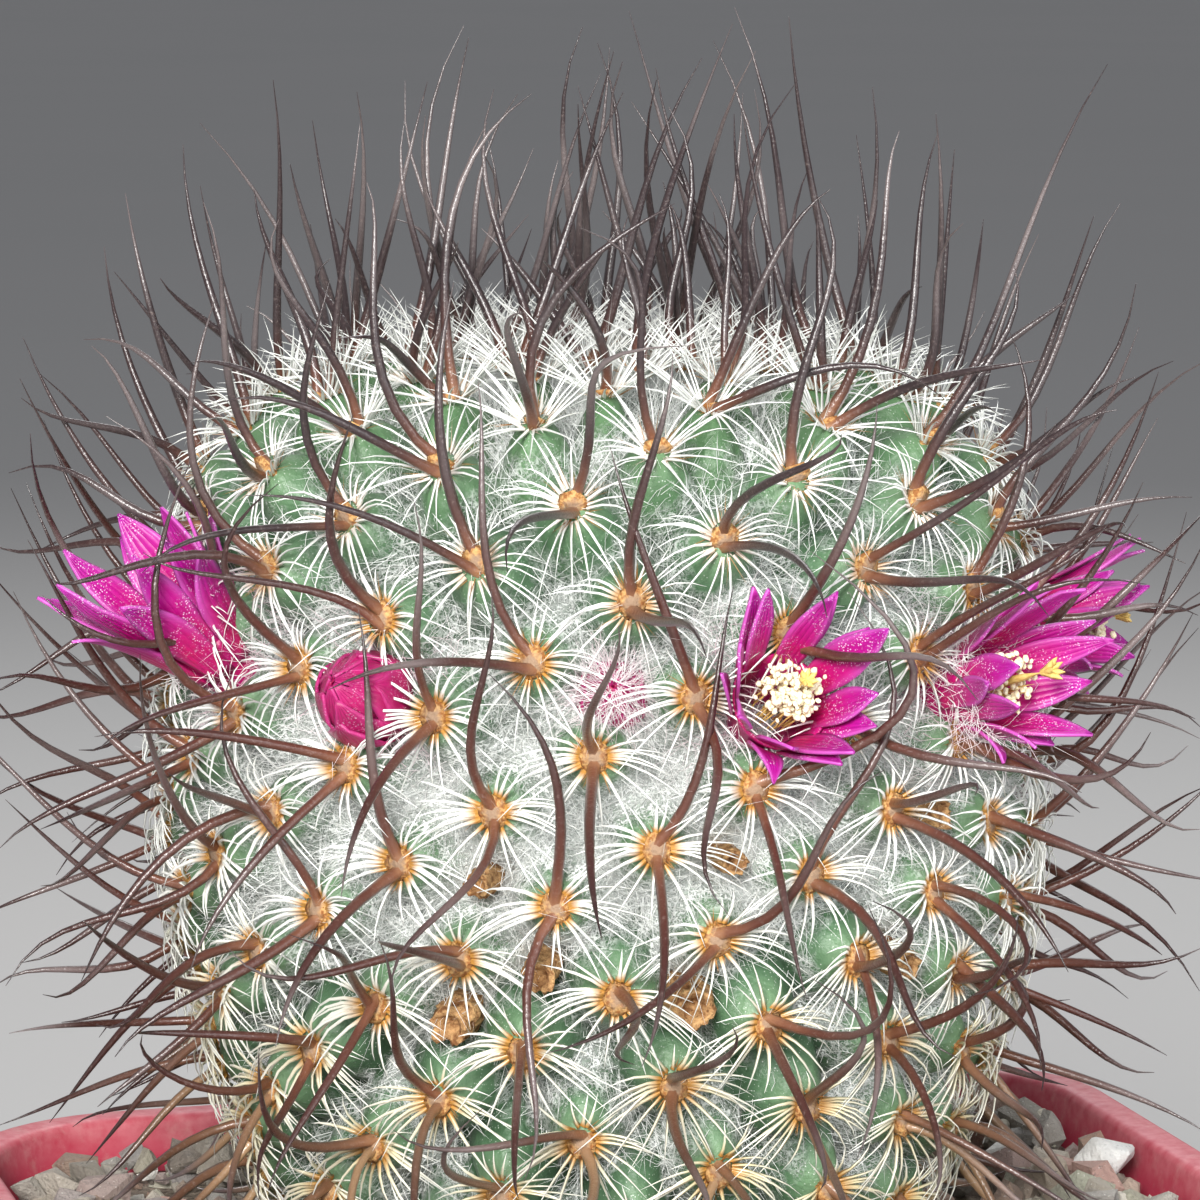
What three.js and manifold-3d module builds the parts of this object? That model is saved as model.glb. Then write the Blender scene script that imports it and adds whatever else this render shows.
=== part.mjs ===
// A potted Mammillaria huitzilopochtli: a round cactus with a ring of flowers, in a square pot with gravel.
// Millimetres, +Z up. The origin is the middle of the pot's underside, and the pot's sides lie along X and Y.
import * as THREE from "three";
import { mergeVertices } from "three/addons/utils/BufferGeometryUtils.js";
import Module from "manifold-3d";

const wasm = await Module();
wasm.setup();

// Pot
const POT_SIDE = 90;
const POT_HEIGHT = 80;
const POT_BASE_SIDE = 68;
const POT_WALL = 1.6;
const POT_FLOOR = 2.2;
const RIM_CORNER = 15;
const BASE_CORNER = 11;
const RIM_BAND = 9;
const RIM_STEP = 1.3;
const RIM_ROUND = 0.6;
const CORNER_STEPS = 4;
const DRAIN_RADIUS = 3.2;
const DRAIN_FROM_MIDDLE = 22;

// Points closer than this are one point, which drops the slivers that fusing leaves
const MERGE_TOLERANCE = 1e-3;

// Soil and gravel
const CLEARANCE = 0.3;
const SOIL_BELOW_RIM = 7;
const GRAVEL_BED = 2.6;
const GRAVEL_BED_GAP = 0.3;
const PEBBLES = 50;
const PEBBLE_RADIUS = [1.7, 3.0];
const STONE_TILT = 0.9;
const STONE_LIFT = 0.42;

// Stem: heights inside the profile are fractions of the radius, counted from the widest level
const STEM_RADIUS = 30;
const STEM_CENTRE = new THREE.Vector3(-4, 2, 109.8);
const STEM_DOME = 1.042;
const DOME_POWER = 4.18;
const STEM_FOOT = 1.18;
const FOOT_NARROWING = 0.38;
const FOOT_POWER = 1.66;
const ROOT_DEPTH = 1.62;
const PLANT_TURN = THREE.MathUtils.degToRad(-16);

// Tubercles: number 0 faces the front above the widest level, and numbers grow downwards
const GOLDEN_ANGLE = THREE.MathUtils.degToRad(137.50776);
const FIRST_BEARING = -0.0127;
const LEVEL_OF_ZERO = 30.2;
const TUBERCLE_AREA = 0.06;
const CROWDING_RADIUS = 0.8;
const LEFT_ROW = 13;
const RIGHT_ROW = 21;
const TOP_TUBERCLE = -98;
const BOTTOM_TUBERCLE = 150;
const AXIL_DEPTH = 4.2;
const AREOLE_HALF_WIDTH = 1.3;
const AREOLE_HALF_HEIGHT = 1.7;
const YOUNG_TUBERCLE_RADII = [2.4, 0.9];

// Spines
const SPINE_ROOT = 1.3;
const CENTRAL_THICKNESS = 1.0;
const RADIAL_THICKNESS = 0.42;
const RADIAL_LENGTH = 3.7;
const CENTRAL_ROOM = 1.5;
const RADIAL_ROOM = 1.1;
const SPINE_LIFT = 1.6;
const LOWER_EVERY = 3;
const RADIAL_EVERY = 4;

// The front is seen from this far above level. Spines there are this long, come at least this far
// towards the viewer, and their middles stand off by the arch
const SIGHT_RISE = THREE.MathUtils.degToRad(10.3);
const FRONT_LENGTH = 17;
const FRONT_DEPTH = 3;
const FRONT_ARCH = 1.8;

// How the front's spines lie to a viewer: a row holds the tubercle, then each of its spines, with its
// tip's place to the right of the areole and above it, and its middle's bow to the left of its way
const FRONT_SPINES = new Map([
  [-103, [[-6, 9, 0]]],
  [-89, [[-4, 8, -0.3]]],
  [-84, [[5, 20, 2.5], [-7, 3.5, 0]]],
  [-81, [[8, 14, 0.3], [15, 0.5, 0.8]]],
  [-76, [[9, 14, 2], [-0.5, 6.5, 1]]],
  [-73, [[5, 19, -0.8], [13.5, 4, -0.3]]],
  [-71, [[-5, 13, 0.8], [-10, 4, 0]]],
  [-68, [[-5, 13.5, -1.5]]],
  [-63, [[-5, 18, 1.6], [-14, 4, -0.5]]],
  [-60, [[1.5, 18, -0.3]]],
  [-55, [[7, 9, 2.8], [-4, -4.5, -1]]],
  [-52, [[6.5, 15, 0], [12.5, 6, 0]]],
  [-50, [[-1, 14.5, 1.3], [-12.5, -3.5, -0.5]]],
  [-47, [[7, 5.5, 0.3], [6, -5, 1.3]]],
  [-42, [[-1.5, 17.5, 1.2], [-14.5, 4.5, -1.1]]],
  [-39, [[12, 8.5, -0.3], [11, -3, 0.8]]],
  [-37, [[-3.5, 17.5, 2.2], [-13.5, -0.5, -0.6]]],
  [-34, [[2.5, 15, 0.5], [4.5, -3.5, 0.8]]],
  [-31, [[2.5, 17, -1], [9.5, 4, -0.3]]],
  [-29, [[-1.5, 12, 1.6], [-15, 4.5, -0.6]]],
  [-26, [[5.5, 14, -0.5], [11.5, -4, 1]]],
  [-21, [[-3.5, 17.5, 1.2], [-12.5, -1.5, -1.2]]],
  [-18, [[12, 8, -0.6], [14.5, 5, 0]]],
  [-16, [[-1, 11, 2.8], [-12.5, -5, -0.4]]],
  [-13, [[-5.5, 15.5, 0.5], [2, -13.5, -0.5]]],
  [-8, [[-1, 13, -0.3], [-5.5, -11, -0.8]]],
  [-5, [[15, -5, -0.5]]],
  [-3, [[-3, 16.5, 2.9], [-15.5, -8.5, 0.3]]],
  [0, [[1.5, 7.5, 0.4], [0.5, -11, -0.5]]],
  [3, [[12, 0, -0.3], [8.5, -4, 0.3]]],
  [5, [[-16, 1.5, -1.2], [-10, -13, -0.5]]],
  [8, [[3.5, 14.5, -2.3], [3, -13, -0.4]]],
  [13, [[0, 13.5, 0.6], [-6, -11, 0.2]]],
  [16, [[4.5, 0.5, 0.8], [11, -10, 1]]],
  [18, [[-12.5, -11.5, -1.5], [-6, 3, -0.5]]],
  [21, [[5, 16.5, -1.2], [-1, -13, 0.7]]],
  [24, [[12, -6.5, 0.3]]],
  [26, [[-2.5, 16, -0.2], [-7.5, -11, -1]]],
  [29, [[2.5, 18, -2.7], [9, -11, 0]]],
  [34, [[-4, 14.5, -2.5], [-2, -17, -0.5]]],
  [37, [[1.5, -7, 3.5], [6.5, -11, 0.7]]],
  [39, [[-5.5, 15, 0.5], [-13, -9, 0]]],
  [42, [[10.5, 10.5, -0.3], [-11, -6.5, 0.3]]],
  [45, [[10, -4, 0.5]]],
  [47, [[-14.5, 0.5, 0.8], [-4.5, 2, -0.8]]],
  [50, [[-0.5, -13, 0.3], [0.5, 4.5, -1.6]]],
  [52, [[-10, -5, 0]]],
  [55, [[1, -4, 0]]],
  [58, [[5, -8, 0.5], [4, 1, 1]]],
  [60, [[-6.5, -12, 0.3], [-5, 5.5, -2.3]]],
  [63, [[6, 7.5, -4.5], [3, -9.5, 0.3]]],
  [68, [[0, -9, 0]]],
  [71, [[8, 8, -0.8], [2.5, -9, 0.5]]],
  [73, [[-11, 1, -1], [-3, -9, 0]]],
  [76, [[3.5, 4, 0], [1.5, -8, 0.2]]],
  [79, [[-1, 5.5, -3], [5, -6, 0]]],
  [81, [[-3.5, 10.5, 0.3], [-1.5, -8, 0]]],
  [84, [[0, 8.5, -2.3], [2, -7, 0]]],
  [86, [[-8, 3.5, 0.8], [-2, -8, 0]]],
  [89, [[-12, 1, 0], [0, -7, 0]]],
  [94, [[-7, 6.5, 2.3], [-1, -8, 0]]],
  [102, [[-1, 6, 2.5]]],
]);

// Flowers, buds and dried remains stand in the axil above the tubercle with the given number, a drop
// below the axil's middle. A flower's axis rises from the skin's own direction by some degrees, its
// petals spread by a share of the widest opening, and its length is a share of the usual one
const OPEN_FLOWERS = [
  { above: 8, drop: 2.0, rise: 24, spread: 1.0, size: 1.0, petals: 10 },
  { above: 3, drop: 3.0, rise: 14, spread: 1.0, size: 1.0, petals: 10 },
  { above: 10, drop: 1.2, rise: 44, spread: 0.9, size: 1.1, petals: 10 },
  { above: -2, drop: 2.0, rise: 6, spread: 0.55, size: 0.95, petals: 8 },
  { above: 1, drop: 2.0, rise: 22, spread: 0.95, size: 1.0, petals: 8 },
  { above: -1, drop: 2.0, rise: 28, spread: 1.0, size: 1.0, petals: 8 },
];
const BUDS = [
  { above: 5, size: 1.0 },
  { above: 0, size: 0.55 },
  { above: 6, size: 0.85 },
  { above: 4, size: 1.0 },
  { above: 9, size: 0.6 },
];
const BUD_DROP = 2.0;
const BUD_RISE = THREE.MathUtils.degToRad(19);
const DRIED_REMAINS = [
  { above: 42, size: 0.6 },
  { above: 47, size: 0.6 },
  { above: 68, size: 0.75 },
  { above: 76, size: 1.0 },
  { above: 81, size: 0.9 },
  { above: 37, size: 0.7 },
  { above: 71, size: 0.7 },
];
const SOCKET_LENGTH = 8;
const FLOWER_LENGTH = 13;
const PETAL_WIDTH = 2.5;
const PETAL_THICKNESS = 0.62;

const COLOURS = {
  pot: 0xa8434f,
  soil: 0x3a2c22,
  gravel: 0xa89a88,
  cactus: 0x6f9a72,
  petals: 0xc4108f,
  stamens: 0xf0e2a8,
  bud: 0xb01055,
  dried: 0xb9783f,
};

// Repeatable random numbers, so that every build is the same.
function seededRandom(seed) {
  let state = seed;
  return () => {
    state = (state + 0x6d2b79f5) | 0;
    let t = Math.imul(state ^ (state >>> 15), 1 | state);
    t = (t + Math.imul(t ^ (t >>> 7), 61 | t)) ^ t;
    return ((t ^ (t >>> 14)) >>> 0) / 4294967296;
  };
}

// A number from -1 to 1 that depends only on the tubercle's number and on which of its features asks.
function variation(number, feature) {
  const wave = Math.sin(number * 12.9898 + feature * 78.233) * 43758.5453;
  return 2 * (wave - Math.floor(wave)) - 1;
}

function geometryOf(positions, triangles) {
  const geometry = new THREE.BufferGeometry();
  geometry.setAttribute("position", new THREE.Float32BufferAttribute(positions, 3));
  geometry.setIndex(triangles);
  return geometry;
}

// A closed geometry as a solid that can be cut and joined.
function solidOf(geometry, tolerance = 1e-4) {
  const bare = geometry.clone();
  bare.deleteAttribute("normal");
  bare.deleteAttribute("uv");
  const merged = mergeVertices(bare, tolerance);
  return new wasm.Manifold(
    new wasm.Mesh({
      numProp: 3,
      vertProperties: new Float32Array(merged.attributes.position.array),
      triVerts: new Uint32Array(merged.index.array),
    }),
  );
}

// The largest body of a solid, without the scraps that a cut may leave.
function mainBody(solid) {
  return solid.decompose().reduce((a, b) => (b.volume() > a.volume() ? b : a));
}

function geometryFrom(solid) {
  const { vertProperties, triVerts } = solid.getMesh();
  return geometryOf(Array.from(vertProperties), Array.from(triVerts));
}

function meshOf(name, solid, colour, roughness) {
  const cleaned = mainBody(solidOf(geometryFrom(mainBody(solid)), MERGE_TOLERANCE));
  const geometry = geometryFrom(cleaned);
  geometry.computeVertexNormals();
  const material = new THREE.MeshStandardMaterial({ color: colour, roughness, metalness: 0 });
  const mesh = new THREE.Mesh(geometry, material);
  mesh.name = name;
  return mesh;
}

// Rounded squares: a ring is { half, corner, z }

function ringPoints({ half, corner, z }) {
  const points = [];
  const straight = half - corner;
  for (let side = 0; side < 4; side++) {
    const cornerX = [1, -1, -1, 1][side] * straight;
    const cornerY = [1, 1, -1, -1][side] * straight;
    for (let step = 0; step <= CORNER_STEPS; step++) {
      const angle = (Math.PI / 2) * (side + step / CORNER_STEPS);
      points.push([cornerX + corner * Math.cos(angle), cornerY + corner * Math.sin(angle), z]);
    }
  }
  return points;
}

// A closed skin over rings stacked from below to above along its outside, capped flat at both ends.
function loft(rings) {
  const positions = [];
  const triangles = [];
  const count = rings[0].length;
  rings.flat().forEach((point) => positions.push(...point));
  for (let ring = 0; ring + 1 < rings.length; ring++) {
    for (let i = 0; i < count; i++) {
      const a = ring * count + i;
      const b = ring * count + ((i + 1) % count);
      triangles.push(a, b, b + count, a, b + count, a + count);
    }
  }
  const last = (rings.length - 1) * count;
  for (let i = 1; i + 1 < count; i++) {
    triangles.push(0, i + 1, i, last, last + i, last + i + 1);
  }
  return geometryOf(positions, triangles);
}

// Half the pot's inner width at a height.
function potInside(z) {
  const lean = (POT_SIDE - POT_BASE_SIDE) / 2 / POT_HEIGHT;
  return POT_BASE_SIDE / 2 + lean * z - POT_WALL - RIM_STEP;
}

function cornerInside(z) {
  return THREE.MathUtils.lerp(BASE_CORNER, RIM_CORNER, z / POT_HEIGHT) - POT_WALL - RIM_STEP;
}

function insideRing(z, gap) {
  return ringPoints({ half: potInside(z) - gap, corner: cornerInside(z) - gap, z });
}

// Tapered square pot with a thicker band under the rim, hollow inside, with four drain holes.
function makePot() {
  const bandFoot = POT_HEIGHT - RIM_BAND;
  const outside = (z, out) =>
    ringPoints({ half: potInside(z) + POT_WALL + out, corner: cornerInside(z) + POT_WALL + out, z });
  const body = loft([
    outside(0, -RIM_ROUND),
    outside(RIM_ROUND, 0),
    outside(bandFoot - RIM_STEP, 0),
    outside(bandFoot, RIM_STEP),
    outside(POT_HEIGHT - RIM_ROUND, RIM_STEP),
    outside(POT_HEIGHT, RIM_STEP - RIM_ROUND),
  ]);
  const hollow = loft([
    insideRing(POT_FLOOR, RIM_ROUND),
    insideRing(POT_FLOOR + RIM_ROUND, 0),
    insideRing(POT_HEIGHT - RIM_ROUND, 0),
    insideRing(POT_HEIGHT, -RIM_ROUND),
    insideRing(POT_HEIGHT + 1, -RIM_ROUND),
  ]);
  let pot = solidOf(body).subtract(solidOf(hollow));
  for (const [x, y] of [[1, 0], [0, 1], [-1, 0], [0, -1]]) {
    const drain = new THREE.CylinderGeometry(DRAIN_RADIUS, DRAIN_RADIUS, 4 * POT_FLOOR, 12);
    drain.rotateX(Math.PI / 2);
    drain.translate(x * DRAIN_FROM_MIDDLE, y * DRAIN_FROM_MIDDLE, 0);
    pot = pot.subtract(solidOf(drain));
  }
  return meshOf("pot", pot, COLOURS.pot, 0.55);
}

// The stem's radius at a height.
function stemRadius(z) {
  if (z >= 0) {
    return Math.max(0, 1 - (z / STEM_DOME) ** DOME_POWER) ** (1 / DOME_POWER);
  }
  return 1 - FOOT_NARROWING * (-z / STEM_FOOT) ** FOOT_POWER;
}

// The outline from the top of the dome to the root, with the tubercle number that each level belongs to.
function makeOutline() {
  const outline = [];
  const domeSteps = 500;
  for (let i = 0; i <= domeSteps; i++) {
    const angle = (Math.PI / 2) * (1 - i / domeSteps);
    const z = STEM_DOME * Math.sin(angle) ** (2 / DOME_POWER);
    outline.push({ r: Math.cos(angle) ** (2 / DOME_POWER), z });
  }
  const footSteps = 300;
  for (let i = 1; i <= footSteps; i++) {
    const z = (-ROOT_DEPTH * i) / footSteps;
    outline.push({ r: stemRadius(z), z });
  }
  outline[0].r = 0;
  outline[0].number = 0;
  for (let i = 1; i < outline.length; i++) {
    const a = outline[i - 1];
    const b = outline[i];
    const r = (a.r + b.r) / 2;
    const crowding = Math.min(1, 0.35 + (0.65 * r) / CROWDING_RADIUS);
    const length = Math.hypot(b.r - a.r, b.z - a.z);
    b.number = a.number + (2 * Math.PI * r * length) / (TUBERCLE_AREA * crowding);
  }
  const shift = outline[domeSteps].number - LEVEL_OF_ZERO;
  outline.forEach((level) => {
    level.number -= shift;
  });
  return outline;
}

const OUTLINE = makeOutline();
const YOUNGEST = Math.ceil(OUTLINE[0].number) + 2;

// The place of a lattice number on the stem: radius, height, and which way the surface faces and falls.
function levelOf(number) {
  let i = OUTLINE.findIndex((level) => level.number >= number);
  i = i < 0 ? OUTLINE.length - 1 : Math.max(i, 1);
  const a = OUTLINE[i - 1];
  const b = OUTLINE[i];
  const t = THREE.MathUtils.clamp((number - a.number) / (b.number - a.number), 0, 1);
  const fall = new THREE.Vector2(b.r - a.r, b.z - a.z).normalize();
  return { r: THREE.MathUtils.lerp(a.r, b.r, t), z: THREE.MathUtils.lerp(a.z, b.z, t), fall };
}

// A point of the stem's skin, sunk by depth, with its outward, downward and sideways directions.
function onStem(number, bearing, depth = 0) {
  const { r, z, fall } = levelOf(number);
  const around = new THREE.Vector3(Math.sin(bearing + PLANT_TURN), -Math.cos(bearing + PLANT_TURN), 0);
  const down = around.clone().multiplyScalar(fall.x).setZ(fall.y);
  const out = around.clone().multiplyScalar(-fall.y).setZ(fall.x);
  const side = new THREE.Vector3().crossVectors(out, down);
  const point = around.multiplyScalar(r * STEM_RADIUS);
  point.z = z * STEM_RADIUS;
  point.add(STEM_CENTRE).addScaledVector(out, -depth);
  return { point, out, down, side };
}

function bearingOf(number) {
  return FIRST_BEARING + number * GOLDEN_ANGLE;
}

// The bearing from one tubercle to another, the short way round.
function turnTo(step) {
  const turn = step * GOLDEN_ANGLE;
  return turn - 2 * Math.PI * Math.round(turn / (2 * Math.PI));
}

const RIGHT_TURN = turnTo(RIGHT_ROW);
const LEFT_TURN = turnTo(LEFT_ROW);

// The pit between a tubercle and its three neighbours below it.
function axilBelow(number, depth = AXIL_DEPTH) {
  const middle = number + (LEFT_ROW + RIGHT_ROW) / 2;
  return onStem(middle, bearingOf(number) + (LEFT_TURN + RIGHT_TURN) / 2, depth);
}

function axilAbove(number, depth = AXIL_DEPTH) {
  return axilBelow(number - LEFT_ROW - RIGHT_ROW, depth);
}

// The stem's skin: a four-sided tubercle over each cell, from the pits round it up to its flat areole.
function makeStem() {
  const positions = [];
  const triangles = [];
  const known = new Map();
  const vertex = (key, place) => {
    if (!known.has(key)) {
      known.set(key, positions.length / 3);
      positions.push(...place().toArray());
    }
    return known.get(key);
  };
  const pit = (n) => vertex(`pit ${n}`, () => axilBelow(n).point);
  const areole = (n, side, down) =>
    vertex(`areole ${n} ${side} ${down}`, () => {
      const place = onStem(n, bearingOf(n));
      place.point.addScaledVector(place.side, side * AREOLE_HALF_WIDTH);
      return place.point.addScaledVector(place.down, down * AREOLE_HALF_HEIGHT);
    });
  for (let n = TOP_TUBERCLE; n <= BOTTOM_TUBERCLE; n++) {
    const pits = [pit(n), pit(n - LEFT_ROW), pit(n - LEFT_ROW - RIGHT_ROW), pit(n - RIGHT_ROW)];
    const areoles = [areole(n, 0, 1), areole(n, 1, 0), areole(n, 0, -1), areole(n, -1, 0)];
    for (let k = 0; k < 4; k++) {
      const next = (k + 1) % 4;
      triangles.push(pits[k], areoles[next], areoles[k], pits[k], pits[next], areoles[next]);
    }
    triangles.push(areoles[0], areoles[1], areoles[2], areoles[0], areoles[2], areoles[3]);
  }
  closeEnds(positions, triangles);
  return solidOf(geometryOf(positions, triangles));
}

// Closes the open top and bottom of the stem's skin with fans.
function closeEnds(positions, triangles) {
  const open = new Map();
  for (let i = 0; i < triangles.length; i += 3) {
    for (let k = 0; k < 3; k++) {
      const from = triangles[i + k];
      const to = triangles[i + ((k + 1) % 3)];
      if (!open.delete(`${to} ${from}`)) {
        open.set(`${from} ${to}`, [from, to]);
      }
    }
  }
  const top = positions.length / 3;
  positions.push(STEM_CENTRE.x, STEM_CENTRE.y, STEM_CENTRE.z + STEM_DOME * STEM_RADIUS - AXIL_DEPTH / 2);
  const bottom = top + 1;
  positions.push(STEM_CENTRE.x, STEM_CENTRE.y, STEM_CENTRE.z - ROOT_DEPTH * STEM_RADIUS);
  for (const [from, to] of open.values()) {
    const upper = positions[from * 3 + 2] > STEM_CENTRE.z;
    triangles.push(to, from, upper ? top : bottom);
  }
}

// A small cone for each of the youngest tubercles, crowded round the growing point.
function makeYoungTubercles() {
  const cones = [];
  for (let n = YOUNGEST; n < TOP_TUBERCLE; n += 2) {
    const place = onStem(n, bearingOf(n), AXIL_DEPTH);
    const tip = place.point.clone().addScaledVector(place.out, AXIL_DEPTH);
    cones.push(taperedPrism([place.point, tip], YOUNG_TUBERCLE_RADII, 4));
  }
  return cones;
}

// A prism of few sides through the points, with its own radius at each: a radius of 0 at the end makes a tip.
function taperedPrism(points, radii, sides) {
  const rings = [];
  const axis = new THREE.Vector3();
  const across = new THREE.Vector3();
  const lift = new THREE.Vector3();
  axis.subVectors(points[points.length - 1], points[0]).normalize();
  const guide = Math.abs(axis.z) < 0.9 ? new THREE.Vector3(0, 0, 1) : new THREE.Vector3(1, 0, 0);
  points.forEach((point, i) => {
    const before = points[Math.max(0, i - 1)];
    const after = points[Math.min(points.length - 1, i + 1)];
    axis.subVectors(after, before).normalize();
    across.crossVectors(guide, axis).normalize();
    lift.crossVectors(axis, across);
    const ring = [];
    for (let k = 0; k < sides; k++) {
      const angle = (2 * Math.PI * k) / sides;
      const corner = point.clone().addScaledVector(across, radii[i] * Math.cos(angle));
      ring.push(corner.addScaledVector(lift, radii[i] * Math.sin(angle)).toArray());
    }
    rings.push(ring);
  });
  if (radii[radii.length - 1] > 0) {
    return solidOf(loft(rings));
  }
  rings.pop();
  const positions = rings.flat(2);
  const triangles = [];
  for (let ring = 0; ring + 1 < rings.length; ring++) {
    for (let k = 0; k < sides; k++) {
      const a = ring * sides + k;
      const b = ring * sides + ((k + 1) % sides);
      triangles.push(a, b, b + sides, a, b + sides, a + sides);
    }
  }
  const last = (rings.length - 1) * sides;
  const tip = rings.length * sides;
  positions.push(...points[points.length - 1].toArray());
  for (let k = 0; k < sides; k++) {
    triangles.push(last + k, last + ((k + 1) % sides), tip);
  }
  for (let k = 1; k + 1 < sides; k++) {
    triangles.push(0, k + 1, k);
  }
  return solidOf(geometryOf(positions, triangles));
}

// What stands in the axils: each has a foot, an axis, and a radius at each distance along it

function flowerProfile(spread, size) {
  const length = FLOWER_LENGTH * size;
  return [[0, 1.5], [5.5, 3.0], [length * 0.75, 3.0 + 1.5 * spread], [length, 3.0 + 2.6 * spread]];
}

function profileRadius(profile, along) {
  if (along <= profile[0][0]) {
    return profile[0][1];
  }
  for (let i = 1; i < profile.length; i++) {
    const [s0, r0] = profile[i - 1];
    const [s1, r1] = profile[i];
    if (along <= s1) {
      return THREE.MathUtils.mapLinear(along, s0, s1, r0, r1);
    }
  }
  return profile[profile.length - 1][1];
}

// The profile up to a length.
function startOf(profile, length) {
  return [...profile.filter(([along]) => along < length), [length, profileRadius(profile, length)]];
}

function standInAxil(above, drop, rise, profile, name, sides) {
  const place = axilAbove(above, AXIL_DEPTH + 0.8);
  place.point.addScaledVector(place.down, drop);
  const axis = place.out.clone().multiplyScalar(Math.cos(rise));
  axis.addScaledVector(place.down, -Math.sin(rise)).normalize();
  return { name, foot: place.point, axis, profile, sides };
}

const BUD_PROFILE = [[0, 1.3], [4.6, 3.0], [7, 2.3], [9.2, 0.35]];
const DRIED_PROFILE = [[0, 1.2], [3.6, 1.9], [4.9, 1.3]];

function scaled(profile, size) {
  return profile.map(([along, radius]) => [along * size, radius * (0.35 + 0.65 * size)]);
}

// A dried remain of another size is slimmer, but it still reaches the skin.
function dried(size) {
  return DRIED_PROFILE.map(([along, radius]) => [along, radius * size]);
}

const FLOWERS = OPEN_FLOWERS.map(({ above, drop, rise, spread, size, petals }, i) => {
  const profile = flowerProfile(spread, size);
  const stand = standInAxil(above, drop, THREE.MathUtils.degToRad(rise), profile, `flower_${i + 1}`, 8);
  return { ...stand, size, petals };
});
const BUDDING = BUDS.map(({ above, size }, i) =>
  standInAxil(above, BUD_DROP, BUD_RISE, scaled(BUD_PROFILE, size), `bud_${i + 1}`, 6),
);
const DRIED = DRIED_REMAINS.map(({ above, size }, i) =>
  standInAxil(above, 0, 0, dried(size), `dried_flower_${i + 1}`, 6),
);
const STANDING = [...FLOWERS, ...BUDDING, ...DRIED];

function pointAlong(stand, distance) {
  return stand.foot.clone().addScaledVector(stand.axis, distance);
}

// A turned solid on a stand's axis, wider by gap all over.
function turnedOn(stand, profile, gap, sides = stand.sides) {
  const first = profile[0];
  const last = profile[profile.length - 1];
  const points = profile.map(([along]) => pointAlong(stand, along));
  points[0] = pointAlong(stand, first[0] - gap);
  points[points.length - 1] = pointAlong(stand, last[0] + gap);
  const radii = profile.map(([, radius]) => radius + gap);
  return taperedPrism(points, radii, sides);
}

// Moves a point out of the room of every flower, bud and dried remain.
function clearOfStanding(point, room) {
  for (const stand of STANDING) {
    const length = stand.profile[stand.profile.length - 1][0];
    const offset = point.clone().sub(stand.foot);
    const along = offset.dot(stand.axis);
    if (along < -1 || along > length + room) {
      continue;
    }
    const away = offset.addScaledVector(stand.axis, -along);
    const needed = profileRadius(stand.profile, along) + room;
    if (away.length() < needed) {
      point.addScaledVector(away.clone().normalize(), needed - away.length());
    }
  }
  return point;
}

function isClear(points, room) {
  for (let i = 0; i + 1 < points.length; i++) {
    for (let t = 0; t <= 1; t += 0.1) {
      const point = points[i].clone().lerp(points[i + 1], t);
      if (clearOfStanding(point.clone(), room).distanceTo(point) > 1e-6) {
        return false;
      }
    }
  }
  return true;
}

const SOIL_TOP = POT_HEIGHT - SOIL_BELOW_RIM;
const BED_FOOT = SOIL_TOP + GRAVEL_BED_GAP;
const BED_TOP = BED_FOOT + GRAVEL_BED;
const GRAVEL_TOP = BED_TOP + PEBBLE_RADIUS[1] * 0.8;

// A curved needle from an areole: it leaves along its first direction and bends towards its second.
function needle(place, leave, bend, length, thickness, steps, room) {
  const root = place.point.clone().addScaledVector(leave, -SPINE_ROOT);
  const points = [root];
  for (let i = 1; i <= steps; i++) {
    const t = i / steps;
    const point = place.point.clone().addScaledVector(leave, length * t);
    point.addScaledVector(bend, length * t * t);
    const fromStem = Math.hypot(point.x - STEM_CENTRE.x, point.y - STEM_CENTRE.y);
    if (fromStem > STEM_RADIUS * 0.62) {
      point.z = Math.max(point.z, GRAVEL_TOP + SPINE_LIFT + t);
    }
    points.push(clearOfStanding(point, room + 0.5));
  }
  if (!isClear(points, room)) {
    return null;
  }
  const radii = points.map((_, i) => (thickness / 2) * Math.max(0, 1 - ((i - 0.4) / steps) ** 1.4 || 1));
  radii[0] = thickness / 2;
  radii[steps] = 0;
  return taperedPrism(points, radii, 3);
}

// The viewer's right, up and the way towards the viewer.
function sightDirections() {
  const level = new THREE.Vector3(Math.sin(PLANT_TURN), -Math.cos(PLANT_TURN), 0);
  const toward = level.clone().multiplyScalar(Math.cos(SIGHT_RISE));
  toward.z = Math.sin(SIGHT_RISE);
  const right = new THREE.Vector3(Math.cos(PLANT_TURN), Math.sin(PLANT_TURN), 0);
  return { toward, right, up: new THREE.Vector3().crossVectors(toward, right) };
}

const SIGHT = sightDirections();

// The first direction, bend and length of a spine that is given as the viewer sees it.
function seenLay(place, [right, up, bow]) {
  const seen = Math.hypot(right, up);
  const facing = Math.max(0, place.out.dot(SIGHT.toward));
  const hidden = Math.sqrt(Math.max(FRONT_LENGTH ** 2 - seen ** 2, FRONT_DEPTH ** 2));
  const depth = hidden * THREE.MathUtils.lerp(0.3, 1, facing);
  const tip = SIGHT.right.clone().multiplyScalar(right).addScaledVector(SIGHT.up, up);
  tip.addScaledVector(SIGHT.toward, depth);
  const middle = tip.clone().multiplyScalar(0.5).addScaledVector(place.out, FRONT_ARCH);
  middle.addScaledVector(SIGHT.right, (-up / seen) * bow).addScaledVector(SIGHT.up, (right / seen) * bow);
  const bend = tip.clone().addScaledVector(middle, -2).multiplyScalar(2);
  const leave = tip.sub(bend);
  const length = leave.length();
  return { leave: leave.divideScalar(length), bend: bend.divideScalar(length), length };
}

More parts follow.
